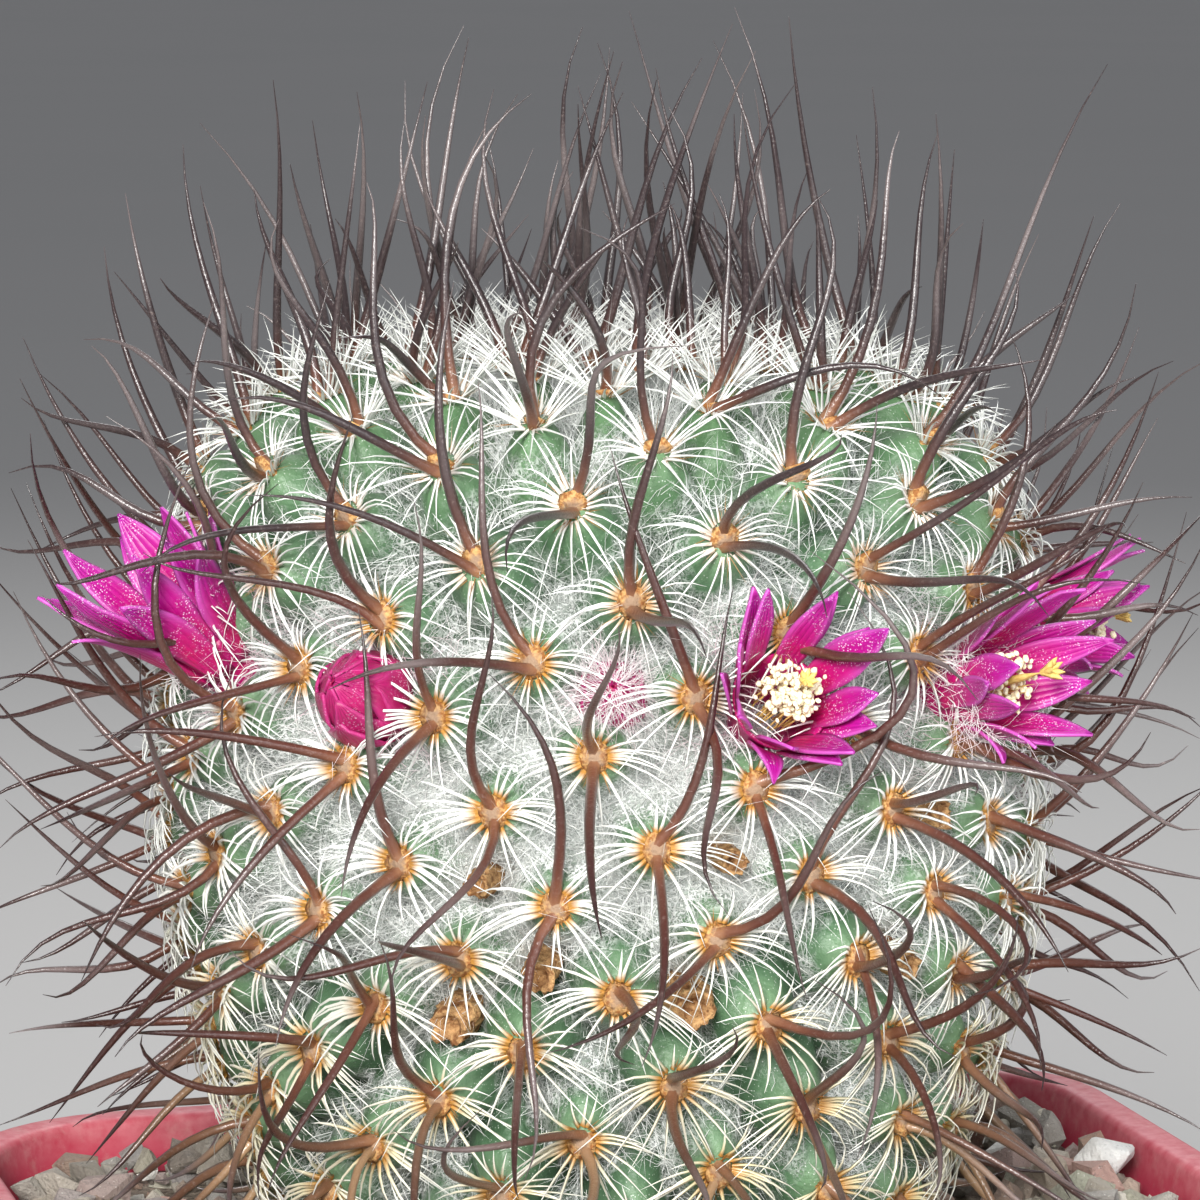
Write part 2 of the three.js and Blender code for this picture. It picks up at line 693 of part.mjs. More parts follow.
// The upper spine of an areole that the viewer doesn't see: it rises, less so low on the stem.
function upperLay(n, place, height) {
  const young = THREE.MathUtils.smoothstep(height, 0.5, 1.0);
  const upright = THREE.MathUtils.smoothstep(height, -0.7, -0.1);
  const rise = THREE.MathUtils.lerp(0.1, 0.65 - 0.2 * young, upright) + 0.25 * variation(n, 4);
  const leave = place.out.clone().addScaledVector(place.down, -rise);
  leave.addScaledVector(place.side, 0.6 * variation(n, 3)).normalize();
  const bend = new THREE.Vector3(0, 0, THREE.MathUtils.lerp(-0.12, 0.3, upright));
  bend.addScaledVector(place.out, -0.12).addScaledVector(place.side, 0.16 * variation(n, 5));
  return { leave, bend, length: THREE.MathUtils.lerp(16.5, 19, young) * (1 + 0.14 * variation(n, 6)) };
}

// The lower spine of such an areole: it spreads outwards and droops low on the stem.
function lowerLay(n, place, height) {
  const leave = place.out.clone().addScaledVector(place.down, 0.25 - 0.35 * height - 0.2 * variation(n, 7));
  leave.addScaledVector(place.side, 0.7 * variation(n, 8)).normalize();
  const bend = new THREE.Vector3(0, 0, -0.06 + 0.1 * variation(n, 9)).addScaledVector(place.out, -0.1);
  return { leave, bend, length: 15 * (1 + 0.15 * variation(n, 10)) };
}

// The long dark spines of an areole: both of them where the viewer sees them, and one elsewhere.
function centralSpines(n) {
  const place = onStem(n, bearingOf(n));
  if (place.point.z < GRAVEL_TOP + 3) {
    return [];
  }
  const height = (place.point.z - STEM_CENTRE.z) / STEM_RADIUS;
  const lays = FRONT_SPINES.has(n)
    ? FRONT_SPINES.get(n).map((lay) => seenLay(place, lay))
    : [n % LOWER_EVERY === 0 ? lowerLay(n, place, height) : upperLay(n, place, height)];
  return lays.map(({ leave, bend, length }) =>
    needle(place, leave, bend, length, CENTRAL_THICKNESS, 2, CENTRAL_ROOM),
  );
}

// Short white spines spread flat round an areole.
function radialSpines(n, count) {
  const place = onStem(n, bearingOf(n));
  if (place.point.z < GRAVEL_TOP + 2) {
    return [];
  }
  const spines = [];
  for (let i = 0; i < count; i++) {
    const angle = (2 * Math.PI * (i + 0.25 + 0.5 * variation(n, 9))) / count;
    const start = { point: place.point.clone(), out: place.out };
    start.point.addScaledVector(place.side, Math.cos(angle) * 0.6);
    start.point.addScaledVector(place.down, Math.sin(angle) * 0.8);
    const leave = place.out.clone().multiplyScalar(0.55).addScaledVector(place.side, Math.cos(angle));
    leave.addScaledVector(place.down, Math.sin(angle)).normalize();
    spines.push(needle(start, leave, new THREE.Vector3(), RADIAL_LENGTH, RADIAL_THICKNESS, 1, RADIAL_ROOM));
  }
  return spines;
}

function makeCactus() {
  const pieces = [makeStem(), ...makeYoungTubercles()];
  let cactus = wasm.Manifold.union(pieces);
  for (const stand of STANDING) {
    cactus = cactus.subtract(turnedOn(stand, startOf(stand.profile, SOCKET_LENGTH), CLEARANCE));
  }
  const spines = [];
  for (let n = YOUNGEST; n <= BOTTOM_TUBERCLE; n++) {
    spines.push(...centralSpines(n));
    if (n % RADIAL_EVERY === 0 && !FRONT_SPINES.has(n)) {
      spines.push(...radialSpines(n, 1));
    }
  }
  const grown = spines.filter((spine) => spine !== null);
  cactus = wasm.Manifold.union([cactus, ...grown]);
  return meshOf("cactus", cactus, COLOURS.cactus, 0.6);
}

// One petal: a thin blade that is widest past its middle and pointed, arched outwards from the flower's axis.
function petal(stand, turn, from, to, widest, flare) {
  const guide = new THREE.Vector3(0, 0, 1);
  const across = new THREE.Vector3().crossVectors(stand.axis, guide).normalize();
  const lift = new THREE.Vector3().crossVectors(across, stand.axis);
  const radial = across.clone().multiplyScalar(Math.cos(turn)).addScaledVector(lift, Math.sin(turn));
  const around = new THREE.Vector3().crossVectors(stand.axis, radial);
  const stations = [0, 0.62];
  const widths = [0.7, 1];
  const rings = stations.map((s, i) => {
    const along = THREE.MathUtils.lerp(from, to, s);
    const radius = profileRadius(stand.profile, along) * (1 - 0.1 * s) - PETAL_THICKNESS + flare * s;
    const half = (widest / 2) * widths[i];
    const middle = pointAlong(stand, along).addScaledVector(radial, radius);
    const corner = (sideways, outwards) =>
      middle.clone().addScaledVector(around, sideways).addScaledVector(radial, outwards).toArray();
    return [
      corner(-half, 0),
      corner(0, PETAL_THICKNESS / 2),
      corner(half, 0),
      corner(0, -PETAL_THICKNESS / 2),
    ];
  });
  const tipRadius = profileRadius(stand.profile, to) - PETAL_THICKNESS + flare;
  const tip = pointAlong(stand, to).addScaledVector(radial, tipRadius);
  return { rings, tip };
}

function petalSolid({ rings, tip }) {
  const count = rings[0].length;
  const positions = [...rings.flat(2), ...tip.toArray()];
  const triangles = [];
  for (let ring = 0; ring + 1 < rings.length; ring++) {
    for (let k = 0; k < count; k++) {
      const a = ring * count + k;
      const b = ring * count + ((k + 1) % count);
      triangles.push(a, b, b + count, a, b + count, a + count);
    }
  }
  const last = (rings.length - 1) * count;
  for (let k = 0; k < count; k++) {
    triangles.push(last + k, last + ((k + 1) % count), rings.length * count);
  }
  for (let k = 1; k + 1 < count; k++) {
    triangles.push(0, k + 1, k);
  }
  const solid = solidOf(geometryOf(positions, triangles));
  if (solid.volume() > 0) {
    return solid;
  }
  const flipped = [];
  for (let i = 0; i < triangles.length; i += 3) {
    flipped.push(triangles[i], triangles[i + 2], triangles[i + 1]);
  }
  return solidOf(geometryOf(positions, flipped));
}

const CUP = [[4.4, 0.9], [6.0, 2.2], [8.2, 3.3]];
const TUBE_END = 6.8;

// The tube, open at its throat, with two turns of petals.
function makePerianth(stand) {
  const parts = [turnedOn(stand, startOf(stand.profile, TUBE_END), 0)];
  for (let i = 0; i < stand.petals; i++) {
    const inner = i % 2;
    const turn = (2 * Math.PI * i) / stand.petals;
    const end = FLOWER_LENGTH * stand.size - (inner ? 0.4 : 1.4);
    const flare = inner ? -0.5 : 0.5;
    parts.push(petalSolid(petal(stand, turn, TUBE_END - 2, end, PETAL_WIDTH, flare)));
  }
  const bloom = wasm.Manifold.union(parts).subtract(turnedOn(stand, CUP, 0));
  return meshOf(stand.name, bloom, COLOURS.petals, 0.45);
}

// Anthers on a short column in the throat, with the style standing out of their middle.
function makeStamens(stand) {
  const column = [[CUP[0][0] + CLEARANCE, 0.6], [8.0, 1.6]];
  const style = [[7.5, 0.4], [9.8, 0.4], [10.4, 0.9]];
  const parts = [turnedOn(stand, column, 0, 6), turnedOn(stand, style, 0, 4)];
  return meshOf(`${stand.name}_stamens`, wasm.Manifold.union(parts), COLOURS.stamens, 0.7);
}

function makeBud(stand) {
  return meshOf(stand.name, turnedOn(stand, stand.profile, 0), COLOURS.bud, 0.5);
}

function makeDried(stand) {
  return meshOf(stand.name, turnedOn(stand, stand.profile, 0), COLOURS.dried, 0.9);
}

// Radius of the plain hole that the stem's foot stands in, at a height.
function holeRadius(z) {
  return stemRadius((z - STEM_CENTRE.z) / STEM_RADIUS) * STEM_RADIUS + 1.2;
}

function stemHole(from, to) {
  const hole = new THREE.CylinderGeometry(holeRadius(to), holeRadius(from), to - from, 28);
  hole.rotateX(Math.PI / 2);
  hole.translate(STEM_CENTRE.x, STEM_CENTRE.y, (from + to) / 2);
  return solidOf(hole);
}

function makeSoil() {
  const foot = POT_FLOOR + RIM_ROUND + CLEARANCE;
  const block = loft([insideRing(foot, CLEARANCE), insideRing(SOIL_TOP, CLEARANCE)]);
  const holeFoot = STEM_CENTRE.z - ROOT_DEPTH * STEM_RADIUS - CLEARANCE;
  return meshOf("soil", solidOf(block).subtract(stemHole(holeFoot, SOIL_TOP + 1)), COLOURS.soil, 1);
}

// A block that narrows upwards, with each of its upper corners knocked off its place.
function brokenStone(radius, random) {
  const width = (1.1 + 0.5 * random()) * radius;
  const height = (0.9 + 0.5 * random()) * radius;
  const stone = new THREE.BoxGeometry(1.7 * radius, width, height);
  stone.deleteAttribute("normal");
  stone.deleteAttribute("uv");
  const block = mergeVertices(stone);
  const corners = block.attributes.position;
  for (let i = 0; i < corners.count; i++) {
    if (corners.getZ(i) > 0) {
      corners.setX(i, corners.getX(i) * (0.5 + 0.35 * random()));
      corners.setY(i, corners.getY(i) * (0.5 + 0.4 * random()));
      corners.setZ(i, corners.getZ(i) * (0.75 + 0.4 * random()));
    }
  }
  return block;
}

// Broken stones half sunk in a bed of grit.
function makeGravel() {
  const random = seededRandom(7);
  const bed = loft([insideRing(BED_FOOT, CLEARANCE), insideRing(BED_TOP, CLEARANCE)]);
  const stones = [];
  const placed = [];
  const reach = potInside(BED_TOP) - 2;
  for (let tries = 0; placed.length < PEBBLES && tries < 6000; tries++) {
    const radius = THREE.MathUtils.lerp(PEBBLE_RADIUS[0], PEBBLE_RADIUS[1], random() ** 1.5);
    const x = THREE.MathUtils.lerp(-reach, reach, random());
    const y = THREE.MathUtils.lerp(-reach, reach, random());
    const fromStem = Math.hypot(x - STEM_CENTRE.x, y - STEM_CENTRE.y);
    const fromWall = reach + 1.7 - Math.max(Math.abs(x), Math.abs(y));
    const cornerReach = reach - cornerInside(BED_TOP) + 2;
    const past = Math.hypot(Math.max(0, Math.abs(x) - cornerReach), Math.max(0, Math.abs(y) - cornerReach));
    const tooNear = placed.some((p) => Math.hypot(x - p.x, y - p.y) < 0.86 * (radius + p.radius));
    const inCorner = past + radius > cornerInside(BED_TOP) - 0.4;
    if (tooNear || inCorner || fromWall < radius || fromStem < holeRadius(BED_TOP) + radius + 0.5) {
      continue;
    }
    placed.push({ x, y, radius });
    const stone = brokenStone(radius, random);
    stone.rotateX(STONE_TILT * (random() - 0.5));
    stone.rotateY(STONE_TILT * (random() - 0.5));
    stone.rotateZ(2 * Math.PI * random());
    stone.translate(x, y, BED_TOP + STONE_LIFT * radius);
    stones.push(solidOf(stone));
  }
  const hole = stemHole(BED_FOOT - 1, GRAVEL_TOP + 2);
  const gravel = wasm.Manifold.union([solidOf(bed), ...stones]).subtract(hole);
  return meshOf("gravel", gravel, COLOURS.gravel, 0.9);
}

const plant = new THREE.Group();
plant.add(makeCactus());
FLOWERS.forEach((stand) => plant.add(makePerianth(stand), makeStamens(stand)));
BUDDING.forEach((stand) => plant.add(makeBud(stand)));
DRIED.forEach((stand) => plant.add(makeDried(stand)));

const pottedCactus = new THREE.Group();
pottedCactus.add(makePot(), makeSoil(), makeGravel(), plant);

export default pottedCactus;
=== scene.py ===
"""A potted Mammillaria huitzilopochtli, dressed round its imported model.

The plant is measured in millimetres, as a grower would, and every mesh is written in metres.
Tubercles are numbered along the plant's one spiral: number 0 faces the front above the widest
level, and numbers grow downwards.
"""

import logging
import math
from collections.abc import Iterable, Iterator, Sequence
from contextlib import contextmanager
from dataclasses import dataclass, field
from enum import Enum

import bmesh
import bpy
import numpy as np
from mathutils import Matrix, Vector
from mathutils.noise import fractal


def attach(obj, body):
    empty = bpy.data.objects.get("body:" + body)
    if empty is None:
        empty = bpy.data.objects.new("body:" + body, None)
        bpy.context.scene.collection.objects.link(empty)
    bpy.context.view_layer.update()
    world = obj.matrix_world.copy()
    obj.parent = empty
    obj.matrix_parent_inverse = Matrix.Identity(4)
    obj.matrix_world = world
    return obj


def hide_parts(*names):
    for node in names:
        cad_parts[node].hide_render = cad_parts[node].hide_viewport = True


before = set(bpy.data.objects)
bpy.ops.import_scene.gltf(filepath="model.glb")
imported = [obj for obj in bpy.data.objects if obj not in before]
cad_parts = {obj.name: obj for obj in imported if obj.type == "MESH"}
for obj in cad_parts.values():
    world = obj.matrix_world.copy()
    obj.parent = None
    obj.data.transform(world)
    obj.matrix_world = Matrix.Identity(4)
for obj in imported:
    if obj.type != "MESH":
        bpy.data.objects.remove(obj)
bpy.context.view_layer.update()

MM = 0.001
LOG = logging.getLogger("potted_cactus")
UP = np.array([0.0, 0.0, 1.0])

Array = np.ndarray
Colour = tuple[float, float, float]
Profile = tuple[tuple[float, float], ...]
Material = bpy.types.Material
Piece = bpy.types.Object


class Slot(Enum):
    """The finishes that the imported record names."""

    POT = "pot_plastic"
    GRAVEL = "gravel"
    CACTUS = "cactus"
    PETALS = "petals"
    STAMENS = "stamens"
    BUD = "bud"
    DRIED = "dried_flower"


# How the front's spines lie to a viewer: for a tubercle each of its spines, with its tip's place to the
# right of the areole and above it, and its middle's bow to the left of its way.
FRONT_SPINES: dict[int, list[tuple[float, float, float]]] = {
    -103: [(-6, 9, 0)],
    -89: [(-4, 8, -0.3)],
    -84: [(5, 20, 2.5), (-7, 3.5, 0)],
    -81: [(8, 14, 0.3), (15, 0.5, 0.8)],
    -76: [(9, 14, 2), (-0.5, 6.5, 1)],
    -73: [(5, 19, -0.8), (13.5, 4, -0.3)],
    -71: [(-5, 13, 0.8), (-10, 4, 0)],
    -68: [(-5, 13.5, -1.5)],
    -63: [(-5, 18, 1.6), (-14, 4, -0.5)],
    -60: [(1.5, 18, -0.3)],
    -55: [(7, 9, 2.8), (-4, -4.5, -1)],
    -52: [(6.5, 15, 0), (12.5, 6, 0)],
    -50: [(-1, 14.5, 1.3), (-12.5, -3.5, -0.5)],
    -47: [(7, 5.5, 0.3), (6, -5, 1.3)],
    -42: [(-1.5, 17.5, 1.2), (-14.5, 4.5, -1.1)],
    -39: [(12, 8.5, -0.3), (11, -3, 0.8)],
    -37: [(-3.5, 17.5, 2.2), (-13.5, -0.5, -0.6)],
    -34: [(2.5, 15, 0.5), (4.5, -3.5, 0.8)],
    -31: [(2.5, 17, -1), (9.5, 4, -0.3)],
    -29: [(-1.5, 12, 1.6), (-15, 4.5, -0.6)],
    -26: [(5.5, 14, -0.5), (11.5, -4, 1)],
    -21: [(-3.5, 17.5, 1.2), (-12.5, -1.5, -1.2)],
    -18: [(12, 8, -0.6), (14.5, 5, 0)],
    -16: [(-1, 11, 2.8), (-12.5, -5, -0.4)],
    -13: [(-5.5, 15.5, 0.5), (2, -13.5, -0.5)],
    -8: [(-1, 13, -0.3), (-5.5, -11, -0.8)],
    -5: [(15, -5, -0.5)],
    -3: [(-3, 16.5, 2.9), (-15.5, -8.5, 0.3)],
    0: [(1.5, 7.5, 0.4), (0.5, -11, -0.5)],
    3: [(12, 0, -0.3), (8.5, -4, 0.3)],
    5: [(-16, 1.5, -1.2), (-10, -13, -0.5)],
    8: [(3.5, 14.5, -2.3), (3, -13, -0.4)],
    13: [(0, 13.5, 0.6), (-6, -11, 0.2)],
    16: [(4.5, 0.5, 0.8), (11, -10, 1)],
    18: [(-12.5, -11.5, -1.5), (-6, 3, -0.5)],
    21: [(5, 16.5, -1.2), (-1, -13, 0.7)],
    24: [(12, -6.5, 0.3)],
    26: [(-2.5, 16, -0.2), (-7.5, -11, -1)],
    29: [(2.5, 18, -2.7), (9, -11, 0)],
    34: [(-4, 14.5, -2.5), (-2, -17, -0.5)],
    37: [(1.5, -7, 3.5), (6.5, -11, 0.7)],
    39: [(-5.5, 15, 0.5), (-13, -9, 0)],
    42: [(10.5, 10.5, -0.3), (-11, -6.5, 0.3)],
    45: [(10, -4, 0.5)],
    47: [(-14.5, 0.5, 0.8), (-4.5, 2, -0.8)],
    50: [(-0.5, -13, 0.3), (0.5, 4.5, -1.6)],
    52: [(-10, -5, 0)],
    55: [(1, -4, 0)],
    58: [(5, -8, 0.5), (4, 1, 1)],
    60: [(-6.5, -12, 0.3), (-5, 5.5, -2.3)],
    63: [(6, 7.5, -4.5), (3, -9.5, 0.3)],
    68: [(0, -9, 0)],
    71: [(8, 8, -0.8), (2.5, -9, 0.5)],
    73: [(-11, 1, -1), (-3, -9, 0)],
    76: [(3.5, 4, 0), (1.5, -8, 0.2)],
    79: [(-1, 5.5, -3), (5, -6, 0)],
    81: [(-3.5, 10.5, 0.3), (-1.5, -8, 0)],
    84: [(0, 8.5, -2.3), (2, -7, 0)],
    86: [(-8, 3.5, 0.8), (-2, -8, 0)],
    89: [(-12, 1, 0), (0, -7, 0)],
    94: [(-7, 6.5, 2.3), (-1, -8, 0)],
    102: [(-1, 6, 2.5)],
}


def variation(number: Array | float, feature: int) -> Array:
    """A number from -1 to 1 that depends only on the tubercle's number and on the feature that asks."""
    wave = np.sin(np.asarray(number) * 12.9898 + feature * 78.233) * 43758.5453
    return 2 * (wave - np.floor(wave)) - 1


def seeded_random(seed: int) -> Iterator[float]:
    """Repeatable numbers from 0 to 1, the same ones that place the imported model's stones.

    Args:
        seed: The first state.

    Yields:
        The numbers, without end.
    """
    mask = 0xFFFFFFFF
    state = seed
    while True:
        state = (state + 0x6D2B79F5) & mask
        mixed = ((state ^ (state >> 15)) * (1 | state)) & mask
        mixed = ((mixed + (((mixed ^ (mixed >> 7)) * (61 | mixed)) & mask)) & mask) ^ mixed
        yield ((mixed ^ (mixed >> 14)) & mask) / (mask + 1)


def unit(vectors: Array) -> Array:
    """The vectors at length 1."""
    return vectors / np.maximum(np.linalg.norm(vectors, axis=-1, keepdims=True), 1e-12)


def smoothstep(x: Array, low: float, high: float) -> Array:
    """0 below low, 1 above high and a soft step between them."""
    t = np.clip((np.asarray(x) - low) / (high - low), 0, 1)
    return t * t * (3 - 2 * t)


def edge_nearness(p: Array, q: Array) -> Array:
    """How near its tubercle's edge a place is: 0 at the tip and 1 at the edge's middles."""
    return ((2 * np.abs(p)) ** 3 + (2 * np.abs(q)) ** 3) ** (1 / 3)


# Meshes


def linked(name: str, data: bpy.types.ID) -> Piece:
    """Puts an object with this data into the scene, at the origin.

    Args:
        name: The object's name.
        data: Its mesh, camera or light.

    Returns:
        The object.
    """
    made = bpy.data.objects.new(name, data)
    bpy.context.scene.collection.objects.link(made)
    return made


def mesh_object(name: str, points: Array, faces: Iterable = ()) -> Piece:
    """Makes a smoothly shaded mesh object.

    Args:
        name: The piece's name.
        points: Its vertices, in millimetres.
        faces: The vertex numbers of each face.

    Returns:
        The linked object, at the origin.
    """
    mesh = bpy.data.meshes.new(name)
    mesh.from_pydata((np.asarray(points) * MM).tolist(), [], [list(map(int, f)) for f in faces])
    mesh.polygons.foreach_set("use_smooth", [True] * len(mesh.polygons))
    mesh.update()
    return linked(name, mesh)


def grid_faces(rows: int, columns: int, first: int = 0, closed: bool = True, looped: bool = False) -> list:
    """The faces between points that are listed row by row.

    Args:
        rows: The number of rows.
        columns: The points in each row.
        first: The number of the first point.
        closed: Whether each row closes on itself.
        looped: Whether the last row meets the first.

    Returns:
        The vertex numbers of each face.
    """
    return [
        (first + a * columns + b, first + a * columns + (b + 1) % columns,
         first + (a + 1) % rows * columns + (b + 1) % columns, first + (a + 1) % rows * columns + b)
        for a in range(rows if looped else rows - 1) for b in range(columns if closed else columns - 1)
    ]


def end_faces(rows: int, columns: int) -> list:
    """The faces that close the first and the last row of such points."""
    return [tuple(range(columns))[::-1], tuple(range((rows - 1) * columns, rows * columns))]


def store(mesh: bpy.types.Mesh, name: str, values: Array) -> None:
    """Keeps a number, a whole number or a vector for each vertex of a mesh.

    Args:
        mesh: The mesh.
        name: The attribute's name.
        values: One number or vector for each vertex.
    """
    values = np.asarray(values)
    whole = values.dtype.kind == "i"
    kind = "FLOAT_VECTOR" if values.ndim == 2 else "INT" if whole else "FLOAT"
    flat = np.ascontiguousarray(values, np.int32 if whole else np.float32).ravel()
    data = mesh.attributes.new(name, kind, "POINT").data
    data.foreach_set("vector" if values.ndim == 2 else "value", flat)


def finished(source: Piece, name: str, kept: Iterable[str]) -> Piece:
    """Turns an object with modifiers into a plain mesh object of its own.

    Args:
        source: The object, which is removed.
        name: The new object's name.
        kept: Attributes that its material reads; the others are dropped.

    Returns:
        The plain object, at the origin.
    """
    depsgraph = bpy.context.evaluated_depsgraph_get()
    mesh = bpy.data.meshes.new_from_object(source.evaluated_get(depsgraph), depsgraph=depsgraph)
    bpy.data.objects.remove(source)
    needed = {*kept, "sharp_face", "sharp_edge", "material_index"}
    for attribute in [a.name for a in mesh.attributes if not (a.is_internal or a.is_required)]:
        if attribute not in needed:
            mesh.attributes.remove(mesh.attributes[attribute])
    mesh.name = name
    return linked(name, mesh)


@contextmanager
def editing(mesh: bpy.types.Mesh) -> Iterator[bmesh.types.BMesh]:
    """Opens a mesh for changes and writes them back.

    Args:
        mesh: The mesh.

    Yields:
        The mesh while it is open.
    """
    shape = bmesh.new()
    shape.from_mesh(mesh)
    yield shape
    shape.to_mesh(mesh)
    shape.free()


def face_outwards(piece: Piece, merge: float = 0.0) -> None:
    """Merges a mesh's doubles, if asked, and turns its faces outwards.

    Args:
        piece: The mesh object.
        merge: How near doubles lie, in metres; 0 merges none.
    """
    with editing(piece.data) as shape:
        if merge:
            bmesh.ops.remove_doubles(shape, verts=shape.verts, dist=merge)
        bmesh.ops.recalc_face_normals(shape, faces=shape.faces)


def coarse_ball(name: str) -> Piece:
    """A ball of radius 1 with few faces, outside the scene.

    Args:
        name: Its name.

    Returns:
        The ball.
    """
    mesh = bpy.data.meshes.new(name)
    with editing(mesh) as shape:
        bmesh.ops.create_icosphere(shape, subdivisions=1, radius=1.0)
    mesh.polygons.foreach_set("use_smooth", [True] * len(mesh.polygons))
    return bpy.data.objects.new(name, mesh)


def join(name: str, pieces: Sequence[Piece]) -> Piece:
    """Joins mesh objects into the first of them, under a new name.

    Args:
        name: The new name.
        pieces: The objects.

    Returns:
        The joined object.
    """
    with bpy.context.temp_override(active_object=pieces[0], selected_editable_objects=list(pieces)):
        bpy.ops.object.join()
    pieces[0].name = name
    pieces[0].data.name = name
    return pieces[0]


def paint(piece: Piece, material: Material) -> None:
    """Makes a material the only one of a piece."""
    piece.data.materials.clear()
    piece.data.materials.append(material)


def dress(piece: Piece, replaced: Iterable[str] = (), material: Material | None = None) -> Piece:
    """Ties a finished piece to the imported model.

    Args:
        piece: The piece, which rides on the one body.
        replaced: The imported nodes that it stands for.
        material: Its material, where the piece has none yet.

    Returns:
        The piece.
    """
    if material:
        paint(piece, material)
    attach(piece, "root")
    if replaced:
        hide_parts(*replaced)
    piece.data.calc_loop_triangles()
    LOG.info("%s: %d triangles", piece.name, len(piece.data.loop_triangles))
    return piece


# Node trees


class Output:
    """A node's output, which sums like a number."""

    def __init__(self, nodes: "Nodes", socket: bpy.types.NodeSocket) -> None:
        """Takes one output of a tree."""
        self.nodes = nodes
        self.socket = socket

    def __add__(self, other: object) -> "Output":
        """The sum of both."""
        return self.nodes.math("ADD", self, other)

    def __sub__(self, other: object) -> "Output":
        """This less the other."""
        return self.nodes.math("SUBTRACT", self, other)

    def __rsub__(self, other: float) -> "Output":
        """A plain number less this."""
        return self.nodes.math("SUBTRACT", other, self)

    def __mul__(self, other: object) -> "Output":
        """The product of both."""
        return self.nodes.math("MULTIPLY", self, other)

    def at_least(self, other: object) -> "Output":
        """The larger of both."""
        return self.nodes.math("MAXIMUM", self, other)

    def between(self, low: float, high: float) -> "Output":
        """0 where this is low and 1 where it is high, clamped."""
        return self.nodes.node("ShaderNodeMapRange", {"Value": self, "From Min": low, "From Max": high})


class Nodes:
    """What the trees of materials and of geometry have in common."""

    tree: bpy.types.NodeTree

    def plug(self, socket: bpy.types.NodeSocket, value: object) -> None:
        """Links a socket to an output, or sets it to a plain value or colour.

        Args:
            socket: The input.
            value: An output, a plain value or a colour.
        """
        if isinstance(value, Output):
            self.tree.links.new(value.socket, socket)
        else:
            socket.default_value = (*value, 1.0) if socket.type == "RGBA" else value

    def node(self, kind: str, inputs: dict | None = None, output: int | str = 0,
             **settings: object) -> Output:
        """Adds a node.

        Args:
            kind: Its type.
            inputs: Outputs or plain values, by the input's name or number.
            output: The name or number of the output that is wanted.
            settings: The node's own settings.

        Returns:
            The wanted output.
        """
        made = self.tree.nodes.new(kind)
        for key, value in settings.items():
            setattr(made, key, value)
        for key, value in (inputs or {}).items():
            self.plug(made.inputs[key], value)
        return Output(self, made.outputs[output])

    def math(self, operation: str, a: object, b: object = 0.0) -> Output:
        """One sum."""
        return self.node("ShaderNodeMath", {0: a, 1: b}, operation=operation)


class Shade(Nodes):
    """The nodes of one material round its Principled shader."""

    def __init__(self, name: str, roughness: float, specular: float) -> None:
        """Starts a material with its plain gloss.

        Args:
            name: The material's name.
            roughness: How rough it is.
            specular: How strongly it reflects.
        """
        self.material = bpy.data.materials.new(name)
        self.material.use_nodes = True
        self.tree = self.material.node_tree
        self.set("Roughness", roughness)
        self.set("Specular IOR Level", specular)

    def set(self, name: str, value: object) -> None:
        """Sets one of the shader's inputs."""
        self.plug(self.tree.nodes["Principled BSDF"].inputs[name], value)

    def value(self, name: str) -> Output:
        """A number stored on the mesh."""
        return self.node("ShaderNodeAttribute", output="Fac", attribute_name=name)

    def texture(self, kind: str, inputs: dict, output: str) -> Output:
        """A pattern on the object's own coordinates, with its scale in features a metre."""
        place = self.node("ShaderNodeTexCoord", output="Object")
        return self.node(kind, {"Vector": place, **inputs}, output)

    def noise(self, scale: float, detail: float = 3.0, roughness: float = 0.55) -> Output:
        """Cloudy noise."""
        inputs = {"Scale": scale, "Detail": detail, "Roughness": roughness}
        return self.texture("ShaderNodeTexNoise", inputs, "Fac")

    def cells(self, scale: float) -> Output:
        """How far each point is from the middle of its cell."""
        return self.texture("ShaderNodeTexVoronoi", {"Scale": scale}, "Distance")

    def web(self, scales: Sequence[float], width: float) -> Output:
        """A tangle of fine fibres: 1 on the lines where any of some noises passes its middle.

        Args:
            scales: The noises' scales.
            width: How wide the lines are.

        Returns:
            The lines' strength.
        """
        middles = [self.math("ABSOLUTE", self.noise(scale, 2.0, 0.5) - 0.5) for scale in scales]
        lines = [middle.between(width, 0.2 * width) for middle in middles]
        made = lines[0]
        for line in lines[1:]:
            made = made.at_least(line)
        return made

    def ramp(self, value: object, stops: Sequence[tuple[float, Colour]]) -> Output:
        """Colours in order along a value.

        Args:
            value: The value.
            stops: Positions from 0 to 1 with their colours.

        Returns:
            The colour.
        """
        made = self.node("ShaderNodeValToRGB", {"Fac": value})
        band = made.socket.node.color_ramp
        while len(band.elements) < len(stops):
            band.elements.new(0.5)
        for element, (position, colour) in zip(band.elements, stops):
            element.position = position
            element.color = (*colour, 1.0)
        return made

    def coats(self, base: object, *coats: tuple[object, object]) -> Output:
        """Lays colours over a base in order, each with its share.

        Args:
            base: The first colour.
            coats: Pairs of a share and a colour.

        Returns:
            The colour of them all.
        """
        for share, colour in coats:
            base = self.node("ShaderNodeMix", {"Factor": share, 6: base, 7: colour}, 2, data_type="RGBA")
        return base

    def relief(self, height: Output, depth: float, strength: float = 1.0) -> None:
        """Raises the surface by a height from 0 to 1, times a depth in millimetres."""
        inputs = {"Strength": strength, "Distance": depth * MM, "Height": height}
        self.set("Normal", self.node("ShaderNodeBump", inputs))


